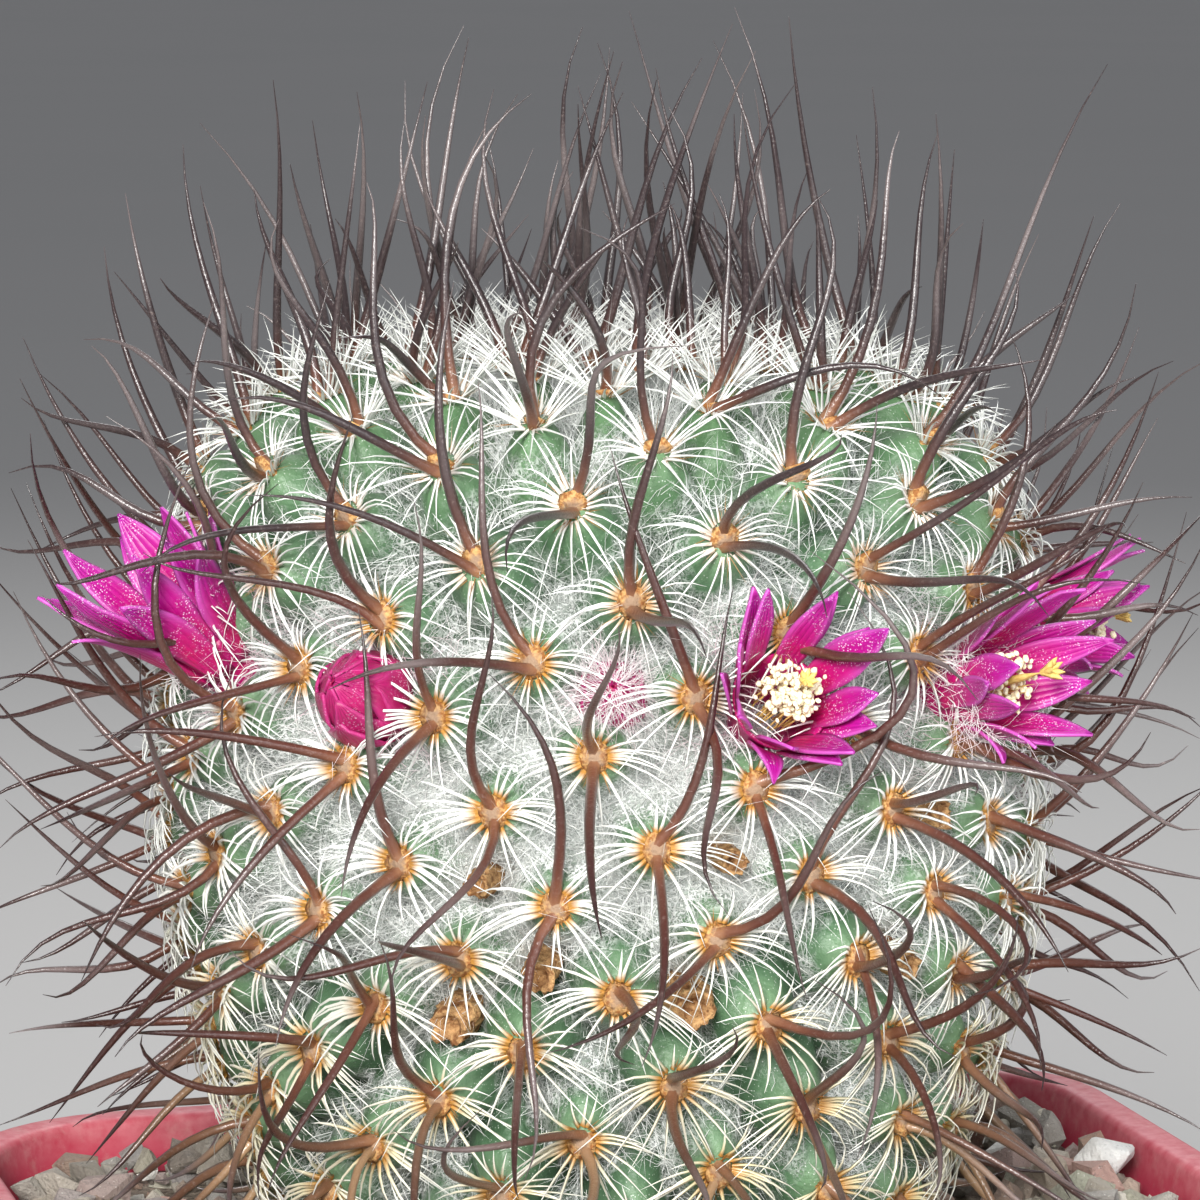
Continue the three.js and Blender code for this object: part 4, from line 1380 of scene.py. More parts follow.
@dataclass
class Pot:
    """Tapered square pot with a rim band, as moulded."""

    side: float = 90.0
    height: float = 80.0
    base_side: float = 68.0
    wall: float = 1.6
    floor: float = 2.2
    rim_corner: float = 15.0
    base_corner: float = 11.0
    rim_band: float = 9.0
    rim_step: float = 1.3
    rounding: float = 0.6
    corner_steps: int = 12
    side_steps: int = 10
    drain_radius: float = 3.2
    drain_from_middle: float = 22.0

    def inside(self, z: float) -> float:
        """Half the inner width at a height."""
        slope = (self.side - self.base_side) / 2 / self.height
        return self.base_side / 2 + slope * z - self.wall - self.rim_step

    def inside_corner(self, z: float) -> float:
        """The inner corners' radius at a height."""
        grown = (self.rim_corner - self.base_corner) * z / self.height
        return self.base_corner + grown - self.wall - self.rim_step

    def ring(self, z: float, out: float) -> Array:
        """The points of a rounded square at a height, given how far it is outside the inner wall.

        Args:
            z: The height.
            out: How far it is outside the inner wall.

        Returns:
            The points.
        """
        corner = self.inside_corner(z) + out
        flat = self.inside(z) + out - corner
        angles = np.linspace(0, math.pi / 2, self.corner_steps + 1)
        arcs = []
        for quarter, (x, y) in enumerate(((1, 1), (-1, 1), (-1, -1), (1, -1))):
            turn = angles + math.pi / 2 * quarter
            arcs.append(np.stack([flat * x + corner * np.cos(turn), flat * y + corner * np.sin(turn)], -1))
        share = np.arange(1, self.side_steps)[:, None] / self.side_steps
        runs = []
        for arc, after in zip(arcs, [*arcs[1:], arcs[0]]):
            runs += [arc, arc[-1] + (after[0] - arc[-1]) * share]
        points = np.concatenate(runs)
        return np.column_stack([points, np.full(len(points), z)])

    def section(self) -> list[tuple[float, float, float, float]]:
        """The wall's section from the underside's edge up, over the rim and down to the inner floor.

        Returns:
            Height, distance outside the inner wall, how much edge wear and painted highlight, and how far
            inside each station is.
        """
        soft, top, outer = self.rounding, self.height, self.wall + self.rim_step
        step = top - self.rim_band - self.rim_step

        def rounded(z: float, out: float, low: float, high: float) -> list[tuple[float, float]]:
            """Height and distance out round an edge of the plastic, between two directions in degrees."""
            angles = np.radians(np.linspace(low, high, 5))
            return [(z + soft * math.sin(a), out + soft * math.cos(a)) for a in angles]

        runs = (
            (rounded(soft, self.wall - soft, -90, 0), 0.6, 0.0),
            ([(z, self.wall) for z in np.linspace(4, step - 1.0, 8)], 0.0, 0.0),
            ([(step, self.wall)], 0.1, 0.0),
            ([(step + self.rim_step - 0.25, outer - 0.2)], 0.8, 0.0),
            ([(step + self.rim_step + 0.3, outer)], 0.5, 0.0),
            ([(step + self.rim_step + 3, outer), (top - 3, outer)], 0.0, 0.0),
            (rounded(top - soft, outer - soft, 0, 90), 1.0, 0.0),
            (rounded(top - soft, soft, 90, 180), 1.0, 0.5),
            ([(z, 0.0) for z in np.linspace(top - 3, self.floor + 2, 8)], 0.0, 1.0),
            ([(self.floor + soft, 0.0), (self.floor, -soft)], 0.0, 1.0),
        )
        return [(z, out, edge_wear_and_highlight, inner) for run, edge_wear_and_highlight, inner in runs for z, out in run]

    def build(self, material: Material) -> Piece:
        """Moulds the pot and drills its drain holes.

        Args:
            material: The pot's finish.

        Returns:
            The piece.
        """
        z, out, edge_wear_and_highlight, inner = zip(*self.section())
        rings = [self.ring(*station) for station in zip(z, out)]
        rows, count = len(rings), len(rings[0])
        faces = grid_faces(rows, count) + end_faces(rows, count)
        pot = mesh_object("pot_blank", np.concatenate(rings), faces)
        # edge marks where wear and a painted highlight go.
        store(pot.data, "edge", np.repeat(edge_wear_and_highlight, count))
        # inside marks where the painted shade of the inner wall goes.
        store(pot.data, "inside", np.repeat(inner, count))
        face_outwards(pot)
        drills = []
        for x, y in ((1, 0), (0, 1), (-1, 0), (0, -1)):
            spot = Vector((x, y, 0)) * self.drain_from_middle * MM
            bpy.ops.mesh.primitive_cylinder_add(
                vertices=32, radius=self.drain_radius * MM, depth=4 * self.floor * MM, location=spot)
            drills.append(bpy.context.active_object)
            cut = pot.modifiers.new("drain", "BOOLEAN")
            cut.object = drills[-1]
            cut.operation = "DIFFERENCE"
            cut.solver = "EXACT"
        made = finished(pot, "pot_shell", ("edge", "inside"))
        for drill in drills:
            bpy.data.objects.remove(drill)
        for polygon in made.data.polygons:
            polygon.use_smooth = len(polygon.vertices) == 4
        return dress(made, ["pot"], material)


@dataclass
class Gravel:
    """A bed of grit with broken stones on it, and a plain hole for the stem's foot.

    A stone's shape is its number of random corners and how broad its worn edges are. The white stone is
    given by its place and its radius.
    """

    pot: Pot
    spiral: Spiral
    soil_top: float = 73.0
    bed_gap: float = 0.3
    bed: float = 2.6
    bed_steps: int = 14
    large_stones: int = 50
    large_radius: tuple[float, float] = (1.7, 3.0)
    large_lift: float = 0.42
    large_seed: int = 7
    tries: int = 6000
    draws_of_a_stone: int = 17
    small_stones: int = 900
    small_radius: tuple[float, float] = (1.0, 2.7)
    grit: int = 800
    grit_radius: tuple[float, float] = (0.35, 0.8)
    large_squash: tuple[float, float, float] = (0.98, 0.931, 0.98)
    white_stone: tuple[float, float, float, float] = (38.0, 12.0, 79.6, 3.1)
    kinds: int = 12
    large_shape: tuple[int, float] = (18, 0.1)
    small_shape: tuple[int, float] = (13, 0.0)
    tilt: float = 0.9
    heap: float = 2.4
    banked: float = 0.3
    seed: int = 11

    @property
    def bed_top(self) -> float:
        """The height of the bed of grit."""
        return self.soil_top + self.bed_gap + self.bed

    @property
    def top(self) -> float:
        """The height that spines stay above."""
        return self.bed_top + 0.8 * self.large_radius[1]

    def hole(self, z: float) -> float:
        """The radius of the hole for the stem, at a height."""
        height = (z - self.spiral.centre[2]) / self.spiral.radius
        return float(self.spiral.stem_radius(height)) * self.spiral.radius + 1.2

    def from_stem(self, x: float, y: float) -> float:
        """How far a place is from the stem's middle."""
        return math.hypot(x - self.spiral.centre[0], y - self.spiral.centre[1])

    def make_stone(self, name: str, rng: np.random.Generator, corners: int, worn: float) -> Piece:
        """Breaks a stone of radius 1: the hull of some random corners.

        Args:
            name: Its name.
            rng: The draw of its corners.
            corners: How many are drawn.
            worn: How broad its worn edges are.

        Returns:
            The stone, outside the scene.
        """
        points = unit(rng.normal(size=(corners, 3))) * rng.uniform(0.82, 1.12, (corners, 1))
        points = points * np.array([1.0, rng.uniform(0.7, 0.95), rng.uniform(0.55, 0.85)])
        mesh = bpy.data.meshes.new(name)
        with editing(mesh) as shape:
            for point in points:
                shape.verts.new(Vector(point * MM))
            hull = bmesh.ops.convex_hull(shape, input=shape.verts)
            inner = hull["geom_interior"] + hull["geom_unused"]
            loose = {v for v in inner if isinstance(v, bmesh.types.BMVert)}
            bmesh.ops.delete(shape, geom=list(loose), context="VERTS")
            bmesh.ops.dissolve_limit(
                shape, angle_limit=math.radians(15), verts=shape.verts, edges=shape.edges)
            if worn:
                edges = {"offset": worn * MM, "segments": 1, "affect": "EDGES", "clamp_overlap": True}
                bmesh.ops.bevel(shape, geom=list(shape.edges), **edges)
            bmesh.ops.triangulate(shape, faces=shape.faces)
            bmesh.ops.recalc_face_normals(shape, faces=shape.faces)
        mesh.polygons.foreach_set("use_smooth", [False] * len(mesh.polygons))
        return bpy.data.objects.new(name, mesh)

    def large_places(self) -> list[tuple[float, float, float]]:
        """The places and radii of the large stones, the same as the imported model's.

        Returns:
            Each stone's x, y and radius.
        """
        draw = seeded_random(self.large_seed)
        reach = self.pot.inside(self.bed_top) - 2
        low, high = self.large_radius
        placed: list[tuple[float, float, float]] = []
        for _ in range(self.tries):
            if len(placed) >= self.large_stones:
                break
            radius = low + (high - low) * next(draw) ** 1.5
            x = -reach + 2 * reach * next(draw)
            y = -reach + 2 * reach * next(draw)
            if self.blocked(x, y, radius, reach):
                continue
            if any(math.hypot(x - a, y - b) < 0.86 * (radius + c) for a, b, c in placed):
                continue
            placed.append((x, y, radius))
            for _ in range(self.draws_of_a_stone):
                next(draw)
        return placed

    def blocked(self, x: float, y: float, radius: float, reach: float) -> bool:
        """Whether a large stone would meet the pot's wall or the stem's hole.

        Args:
            x: Its place to the right.
            y: Its place to the back.
            radius: Its radius.
            reach: Half the width that stones are drawn in.

        Returns:
            Whether it is blocked.
        """
        corner = self.pot.inside_corner(self.bed_top)
        flat = reach - corner + 2
        past = math.hypot(max(0.0, abs(x) - flat), max(0.0, abs(y) - flat))
        return (past + radius > corner - 0.4 or reach + 1.7 - max(abs(x), abs(y)) < radius
                or self.from_stem(x, y) < self.hole(self.bed_top) + radius + 0.5)

    def small_places(self, rng: np.random.Generator, count: int, radii: tuple[float, float],
                     layer: float) -> list[tuple[float, float, float, float]]:
        """Strews small stones among the large ones, heaped at the walls.

        Args:
            rng: The draw of the places.
            count: How many stones.
            radii: The smallest and the largest radius.
            layer: How far they lie over each other, in radii.

        Returns:
            Each stone's x, y, height and radius.
        """
        reach = self.pot.inside(self.bed_top) - 0.2
        corner = self.pot.inside_corner(self.bed_top)
        placed = []
        while len(placed) < count:
            radius = rng.uniform(*radii)
            x, y = rng.uniform(-reach, reach, 2)
            if rng.uniform() < self.banked:
                outward = rng.uniform(0.78, 1.0) * reach / max(abs(x), abs(y))
                x, y = x * outward, y * outward
            furthest = max(abs(x), abs(y))
            past = math.hypot(max(0.0, abs(x) - reach + corner), max(0.0, abs(y) - reach + corner))
            if past + radius > corner or furthest + radius > reach:
                continue
            if self.from_stem(x, y) < self.hole(self.bed_top) + 0.6 * radius:
                continue
            heap = self.heap * smoothstep(furthest, 0.65 * reach, 0.9 * reach) * layer
            z = self.bed_top + rng.uniform(-0.3, layer) * radius + heap * rng.uniform(0, 1)
            placed.append((x, y, min(z, self.pot.height - 0.6 * radius), radius))
        return placed

    def build_stones(self, tree: GrowthTree, material: Material) -> Piece:
        """Breaks some kinds of stone and strews them on the bed.

        Args:
            tree: The scatter tree.
            material: The stones' finish.

        Returns:
            The piece.
        """
        rng = np.random.default_rng(self.seed)
        half = self.kinds // 2
        made = [self.large_shape] * half + [self.small_shape] * (self.kinds - half)
        shapes = [self.make_stone(f"stone_{kind:02d}", rng, *shape) for kind, shape in enumerate(made)]

        def row(x: float, y: float, z: float, size: Array, first: int, last: int) -> tuple:
            """A stone's place and size, with a draw of its kind and of its tone."""
            return (x, y, z), size, rng.integers(first, last), rng.uniform(0, 1) ** 1.25

        squash = np.array(self.large_squash)
        rows = [row(x, y, self.bed_top + self.large_lift * radius, radius * squash, 0, half)
                for x, y, radius in self.large_places()]
        rows.append((self.white_stone[:3], np.full(3, self.white_stone[3]), 0, 1.0))
        layers = (self.small_stones, self.small_radius, 0.9), (self.grit, self.grit_radius, 0.5)
        for count, radii, layer in layers:
            rows += [row(x, y, z, np.full(3, radius), half, self.kinds)
                     for x, y, z, radius in self.small_places(rng, count, radii, layer)]
        places, sizes, kinds, tones = (np.array(column) for column in zip(*rows))
        turns = rng.uniform(-1, 1, places.shape) * np.array([self.tilt / 2, self.tilt / 2, math.pi])
        stones = scatter(tree, "gravel_stones", shapes, material, ("tone",), places,
                         turn=turns, size=sizes, kind=kinds, tone=tones)
        return dress(stones)

    def build_bed(self, material: Material) -> Piece:
        """Lays a plate that fills the pot from wall to wall, with the stem's hole.

        Args:
            material: The bed's finish.

        Returns:
            The piece.
        """
        centre = np.array(self.spiral.centre[:2])
        share = np.linspace(0, 1, self.bed_steps + 1)[:, None, None]
        layers = []
        for z, way in ((self.soil_top + self.bed_gap, 1), (self.bed_top, -1)):
            outer = self.pot.ring(z, -0.3)
            inner = np.column_stack([centre + self.hole(z) * unit(outer[:, :2] - centre), outer[:, 2]])
            layers.append((inner + (outer - inner) * share)[::way])
        rows = np.concatenate(layers)
        bed = mesh_object("gravel_bed", rows.reshape(-1, 3), grid_faces(*rows.shape[:2], looped=True))
        face_outwards(bed)
        return dress(bed, ["gravel"], material)


# The cactus


@dataclass
class Stem:
    """The stem's tubercled skin and the felt on its areoles."""

    spiral: Spiral
    cells: int = 9
    felt: tuple[float, float, float] = (1.15, 1.4, 0.42)
    felt_end: int = 143

    def wool_of(self, number: Array) -> Array:
        """How woolly the axils round a tubercle are, from 0 to 1, by its level.

        Args:
            number: The level, as a tubercle number.

        Returns:
            The share of wool.
        """
        ring = smoothstep(number, -48, -8) * smoothstep(number, 64, 30)
        crown = smoothstep(number, -75, -115)
        lower = smoothstep(number, -10, 30)
        patch = 0.15 + 0.3 * smoothstep(number, 30, 70)
        return np.clip(0.2 + 0.16 * lower + 0.6 * ring + 0.7 * crown + patch * variation(number, 12), 0, 1)

    def build_skin(self, material: Material) -> Piece:
        """Builds the skin, one square of faces for each tubercle.

        Args:
            material: The skin's finish.

        Returns:
            The piece.
        """
        line = np.linspace(-0.5, 0.5, self.cells + 1)
        p, q = (a.ravel() for a in np.meshgrid(line, line, indexing="ij"))
        numbers = np.arange(self.spiral.top_tubercle, self.spiral.bottom_tubercle + 1)
        n = np.repeat(numbers, len(p))
        places, edge = self.spiral.skin(n, np.tile(p, len(numbers)), np.tile(q, len(numbers)))
        faces = []
        for i in range(len(numbers)):
            faces += grid_faces(len(line), len(line), i * len(p), closed=False)
        stem = mesh_object("cactus_stem", places.point, faces)
        # rise also sets the skin's painted shade in the grooves and painted highlight on the tubercles.
        store(stem.data, "rise", 1 - smoothstep(edge, 0.15, 1.15))
        store(stem.data, "youth", smoothstep(n, -20, -95))
        store(stem.data, "wool", smoothstep(edge, 0.3, 1.0) * self.wool_of(n))
        face_outwards(stem, merge=2e-3 * MM)
        self.close_ends(stem)
        return dress(stem, ["cactus"], material)

    def close_ends(self, stem: Piece) -> None:
        """Closes the skin at the growing point and at the root.

        Args:
            stem: The skin.
        """
        x, y, middle = self.spiral.centre
        top = middle + self.spiral.dome * self.spiral.radius - self.spiral.axil_depth / 2
        root = middle - self.spiral.root_depth * self.spiral.radius
        with editing(stem.data) as shape:
            rise = shape.verts.layers.float["rise"]
            open_edges = [e for e in shape.edges if e.is_boundary]
            for upper, z in ((True, top), (False, root)):
                hub = shape.verts.new(Vector((x, y, z)) * MM)
                hub[rise] = 0.3
                for edge in open_edges:
                    if (edge.verts[0].co.z > middle * MM) == upper:
                        shape.faces.new((*edge.verts, hub)).smooth = True
            bmesh.ops.recalc_face_normals(shape, faces=shape.faces)

    def build_felt(self, tree: GrowthTree, material: Material) -> Piece:
        """Puts a small felted cushion on each areole.

        Args:
            tree: The scatter tree.
            material: The felt's finish.

        Returns:
            The piece.
        """
        ball = coarse_ball("felt")
        store(ball.data, "rim", np.hypot(*np.array([v.co for v in ball.data.vertices]).T[:2]))
        numbers = np.arange(self.spiral.youngest, self.felt_end)
        places = self.spiral.areoles(numbers)
        axes = np.stack([places.side, places.down, places.out], -1)
        turns = np.array([tuple(Matrix(a.tolist()).to_euler()) for a in axes])
        sizes = np.array(self.felt) * np.where(numbers < -70, 0.7, 1.0)[:, None] * MM
        felt = scatter(
            tree, "areole_felt", [ball], material, ("rim",), places.point, turn=turns, size=sizes)
        return dress(felt)


@dataclass(frozen=True)
class Lay:
    """How a spine lies: its point at t is its start + (leave * t + bend * t * t) * length."""

    leave: Array
    bend: Array
    length: float


@dataclass
class Spines:
    """The plant's spines: long dark centrals, and short white radials and fuzz round them."""

    spiral: Spiral
    stands: list[Stand]
    gravel_top: float
    sight_rise: float = math.radians(10.3)
    front_length: float = 17.0
    front_depth: float = 3.0
    front_arch: float = 1.8
    lift: float = 1.6
    central_thickness: float = 0.68
    central_room: float = 2.0
    beside_stem: float = 0.62
    swing: float = 12.0
    radials: int = 26
    radial_thickness: float = 0.26
    radial_seed: int = 21
    areole: tuple[float, float] = (0.95, 1.2)
    fuzz: int = 44
    fuzz_seed: int = 31

    def rooted(self, above_gravel: float) -> tuple[Array, Places, Array]:
        """The tubercles that stand so high over the gravel, with their tips and heights.

        Args:
            above_gravel: The least height over the gravel.

        Returns:
            Their numbers, tips and heights.
        """
        numbers = np.arange(self.spiral.youngest, self.spiral.bottom_tubercle + 1)
        places = self.spiral.areoles(numbers)
        high = places.point[:, 2] >= self.gravel_top + above_gravel
        return numbers[high], places[high], self.spiral.height(places[high])

    def seen_lay(self, out: Array, seen: tuple[float, float, float]) -> Lay:
        """The lay of a spine that is given as the viewer sees it.

        Args:
            out: The areole's direction.
            seen: The tip's place to the right and above, and the middle's bow to the left.

        Returns:
            The lay.
        """
        across, above, bow = seen
        turn = self.spiral.turn
        level = np.array([math.sin(turn), -math.cos(turn), 0.0])
        toward = level * math.cos(self.sight_rise) + UP * math.sin(self.sight_rise)
        right = np.array([math.cos(turn), math.sin(turn), 0.0])
        up = np.cross(toward, right)
        shown = math.hypot(across, above)
        hidden = math.sqrt(max(self.front_length**2 - shown**2, self.front_depth**2))
        tip = across * right + above * up + hidden * (0.3 + 0.7 * max(0.0, out @ toward)) * toward
        middle = tip / 2 + out * self.front_arch + (across * up - above * right) * bow / shown
        bend = 2 * (tip - 2 * middle)
        length = np.linalg.norm(tip - bend)
        return Lay((tip - bend) / length, bend / length, length)

    def upper_lay(self, n: int, place: Places, height: float) -> Lay:
        """The upper spine of an areole that the viewer doesn't see: it rises, less so low on the stem.

        Args:
            n: The tubercle's number.
            place: Its tip.
            height: The tip's height.

        Returns:
            The lay.
        """
        young = smoothstep(height, 0.5, 1.0)
        upright = smoothstep(height, -0.7, -0.1)
        rise = 0.1 + (0.55 - 0.2 * young) * upright + 0.25 * variation(n, 4)
        leave = unit(place.out - place.down * rise + place.side * 0.65 * variation(n, 3))
        lifted = UP * (-0.12 + 0.42 * upright + 0.15 * variation(n, 19))
        bend = lifted - place.out * 0.12 + place.side * 0.4 * variation(n, 5)
        return Lay(leave, bend, (16.5 + 2.5 * young) * (1 + 0.14 * variation(n, 6)))

    def lower_lay(self, n: int, place: Places, height: float) -> Lay:
        """The lower spine of such an areole: it spreads outwards and droops low on the stem.

        Args:
            n: The tubercle's number.
            place: Its tip.
            height: The tip's height.

        Returns:
            The lay.
        """
        fall = 0.25 - 0.35 * height - 0.2 * variation(n, 7)
        leave = unit(place.out + place.down * fall + place.side * 0.7 * variation(n, 8))
        lifted = UP * (-0.06 + 0.25 * variation(n, 9))
        bend = lifted - place.out * 0.1 + place.side * 0.2 * variation(n, 18)
        return Lay(leave, bend, 15 * (1 + 0.15 * variation(n, 10)))

    def path(self, start: Array, lays: Sequence[Lay]) -> tuple[Array, Array]:
        """Bends spines clear of the gravel and of what stands in the axils.

        Args:
            start: Where they start.
            lays: How they lie.

        Returns:
            Reach and curl: a spine's point at t is its start + reach * t + curl * t * t.
        """
        leave = np.array([lay.leave * lay.length for lay in lays])
        bend = np.array([lay.bend * lay.length for lay in lays])
        kept = []
        for t in (0.5, 1.0):
            point = start + leave * t + bend * t * t
            from_stem = np.linalg.norm(point[:, :2] - self.spiral.centre[:2], axis=1)
            lowest = self.gravel_top + self.lift + t
            low = (from_stem > self.beside_stem * self.spiral.radius) & (point[:, 2] < lowest)
            point[low, 2] = lowest
            kept.append(clear_of(self.stands, point, self.central_room))
        middle, tip = kept
        curl = 2 * (tip - 2 * middle + start)
        return tip - start - curl, curl

    def build_centrals(self, tree: GrowthTree, material: Material) -> Piece:
        """Grows the long dark spines: an upper and a lower one from most areoles.

        Args:
            tree: The hair tree.
            material: The spines' finish.

        Returns:
            The piece.
        """
        start, lays, tone, swing = [], [], [], []
        for n, place, height in zip(*self.rooted(3)):
            if int(n) in FRONT_SPINES:
                grown = [self.seen_lay(place.out, lay) for lay in FRONT_SPINES[int(n)]]
            else:
                grown = [self.upper_lay(n, place, height), self.lower_lay(n, place, height)]
            for k, lay in enumerate(grown):
                start.append(place.point + place.down * (0.5 if k else -0.4) - 0.3 * lay.leave)
                lays.append(lay)
                aged = (1.0 if k else 0.45) * smoothstep(height, -0.25, -0.75)
                tone.append(1.1 * smoothstep(height, 0.35, 0.85) - aged)
                sideways = unit(np.cross(lay.leave, place.out) + 0.1 * place.side)
                swing.append(sideways * self.swing * variation(n, 13 + k))
        start = np.array(start)
        thick = self.central_thickness * (1 + 0.12 * variation(np.arange(len(lays)), 17))
        hairs = Hairs()
        hairs.add(start, *self.path(start, lays), np.array(swing), thick, np.array(tone))
        spines = hairs.grow(
            "central_spines", tree, material, 10, 6, taper=2.2, swelling=0.3, foot_length=0.05)
        return dress(spines)

    def build_radials(self, tree: GrowthTree, material: Material) -> Piece:
        """Grows the short white spines that spread from each areole.

        Args:
            tree: The hair tree.
            material: The spines' finish.

        Returns:
            The piece.
        """
        rng = np.random.default_rng(self.radial_seed)
        hairs = Hairs()
        numbers, places, height = self.rooted(0.5)
        count = len(numbers)
        levels = (0.7, 1.0), (0.2, 0.7), (0.2, -0.4)
        young, fresh, old = (smoothstep(height, *level)[:, None] for level in levels)
        tilt = 0.22 * variation(numbers, 20)
        bleached = np.clip(smoothstep(height, 0.1, -0.7) + 0.15 * variation(numbers, 16), 0, 1)
        for i in range(self.radials):
            angle = 2 * math.pi * (i + rng.uniform(-0.4, 0.4, count)) / self.radials
            angle = (angle - 0.38 * (1 - 0.7 * fresh[:, 0]) * np.sin(2 * angle) + tilt)[:, None]
            across, below = np.cos(angle), np.sin(angle)
            wide, lower = np.abs(across), np.maximum(below, 0)
            rim = places.side * across * self.areole[0] + places.down * below * self.areole[1]
            start = places.point + rim + places.out * 0.05
            rise = 0.75 + 0.35 * young - 0.75 * fresh * lower + rng.uniform(-0.25, 0.28, (count, 1))
            length = (3.2 + 2.8 * wide**1.4 + 0.7 * lower) * (1 - 0.25 * young) + 2.3 * young
            length = length * rng.uniform(0.78, 1.12, (count, 1))
            spread = places.side * across + places.down * below
            leave = unit(spread + places.out * rise - places.down * (0.2 + 0.12 * old) * wide)
            droop = (0.08 + (0.28 + 0.26 * old) * wide * (below > -0.6)) * (1 - 0.7 * young)
            stray = 0.06 * rng.normal(size=(count, 3))
            curl = -0.5 * (1 - 0.7 * young) * places.out + droop * places.down + stray
            reach, curl = leave * length, curl * length
            sunk = np.maximum(self.gravel_top - 0.6 - (start + reach + curl)[:, 2:], 0)
            thick = self.radial_thickness * (1 - 0.25 * fresh[:, 0]) * rng.uniform(0.85, 1.15, count)
            hairs.add(start, reach, curl + UP * sunk, 0.0, thick, bleached - smoothstep(height, 0.4, 0.9))
        spines = hairs.grow(
            "radial_spines", tree, material, 4, 3, taper=2.2, swelling=0.6, foot_length=0.15)
        return dress(spines)

    def build_fuzz(self, tree: GrowthTree, material: Material) -> Piece:
        """Grows the short golden fuzz round each areole.

        Args:
            tree: The hair tree.
            material: The fuzz's finish.

        Returns:
            The piece.
        """
        rng = np.random.default_rng(self.fuzz_seed)
        hairs = Hairs()
        numbers, places, height = self.rooted(0.0)
        count = len(numbers)
        fresh = smoothstep(height, 0.0, 0.8)
        for _ in range(self.fuzz):
            angle = rng.uniform(0, 2 * math.pi, count)
            share = np.sqrt(rng.uniform(0.2, 1.2, count))
            across = places.side * (np.cos(angle) * share)[:, None]
            below = places.down * (np.sin(angle) * share)[:, None]
            leave = unit(places.out * 0.6 + across + below + 0.25 * rng.normal(size=(count, 3)))
            length = rng.uniform(0.5, 1.1, (count, 1)) * (1 + 1.1 * fresh[:, None])
            tone = np.clip(0.75 - share + 0.6 * fresh + 0.3 * rng.normal(size=count), 0, 1)
            start = places.point + across + below * 1.25
            hairs.add(start, leave * length, 0.0, 0.0, 0.1 - 0.03 * fresh, tone)
        fuzz = hairs.grow("areole_fuzz", tree, material, 1, 3, taper=1.5)
        return dress(fuzz)


@dataclass
class Wool:
    """White wool in the axils, thick round the flowers and over the growing point."""

    stem: Stem
    stands: list[Stand]
    fibres: int = 9900
    thickness: float = 0.048
    seed: int = 5
    draw: int = 60000

    def sample(self, rng: np.random.Generator, low: int, high: int) -> tuple[Array, Places]:
        """Draws places for fibres, more of them deep in the woolly axils.

        Args:
            rng: The draw.
            low: The first tubercle.
            high: The last tubercle.

        Returns:
            Each fibre's tubercle and place.
        """
        kept: list[Array] = []
        while sum(map(len, kept)) < self.fibres:
            n = rng.integers(low, high + 1, self.draw)
            p, q = rng.uniform(-0.5, 0.5, (2, len(n)))
            wanted = np.clip((edge_nearness(p, q) - 0.5) / 0.7, 0, 1) ** 1.4 * self.stem.wool_of(n)
            kept.append(np.stack([n, p, q], -1)[rng.uniform(0, 1, len(n)) < wanted])
        n, p, q = np.concatenate(kept)[: self.fibres].T
        return n, self.stem.spiral.skin(n, p, q)[0]

    def curls(self, rng: np.random.Generator, length: Array) -> tuple[Array, Array]:
        """How fibres of some lengths curl and sway."""
        return tuple(rng.normal(size=(len(length), 3)) * length * share for share in (0.45, 0.9))

    def build(self, tree: GrowthTree, name: str, low: int, high: int, material: Material) -> Piece:
        """Grows the wool between two levels.

        Args:
            tree: The hair tree.
            name: The piece's name.
            low: The first tubercle.
            high: The last tubercle.
            material: The wool's finish.

        Returns:
            The piece.
        """
        rng = np.random.default_rng(self.seed + abs(high))
        n, places = self.sample(rng, low, high)
        lean = rng.normal(size=(len(n), 2)) * 0.8
        leave = unit(places.out + places.side * lean[:, :1] + places.down * lean[:, 1:])
        length = rng.uniform(1.2, 3.1, (len(n), 1)) * (0.7 + 0.5 * self.stem.wool_of(n))[:, None]
        length = length + 1.4 * smoothstep(n, -60, -110)[:, None]
        # Painted reflected light: wool near the flowers and buds is tinted pink by their colour.
        painted_pink_light = np.zeros(len(n))
        for stand in self.stands:
            distance = np.linalg.norm(places.point - (stand.foot + stand.axis * 6), axis=1)
            painted_pink_light = np.maximum(painted_pink_light, (1 - smoothstep(distance, 4, 9)) * (stand.radius(3.0) > 2.0))
        hairs = Hairs()
        hairs.add(places.point, leave * length, *self.curls(rng, length), self.thickness, painted_pink_light * 0.7)
        return dress(hairs.grow(name, tree, material, 2, 3, taper=3.0))

    def build_veil(self, tree: GrowthTree, covers: Sequence[tuple[Stand, float, int]],
                   material: Material) -> Piece:
        """Grows the wool that clings to buds and to the flowers' tubes.

        Args:
            tree: The hair tree.
            covers: Stands, each with the share of its length that is covered and its number of fibres.
            material: The wool's finish.

        Returns:
            The piece.
        """
        rng = np.random.default_rng(self.seed)
        hairs = Hairs()
        for stand, share, count in covers:
            along = stand.length * share * rng.uniform(0.25, 1.0, count) ** 0.8
            turn = rng.uniform(0, 2 * math.pi, count)
            away = stand.outward(turn) + 0.5 * stand.axis
            length = rng.uniform(1.0, 2.6, (count, 1))
            leave = unit(away + 0.7 * rng.normal(size=(count, 3))) * length
            curl, sway = self.curls(rng, length)
            foot = stand.points(along, stand.radius(along), turn)
            # The veil's random pink tint is painted light from the buds and flower tubes beneath.
            hairs.add(foot, leave, curl, sway, self.thickness, rng.uniform(0.0, 0.45, count))
        return dress(hairs.grow("bud_wool", tree, material, 2, 3, taper=3.0))


# Flowers


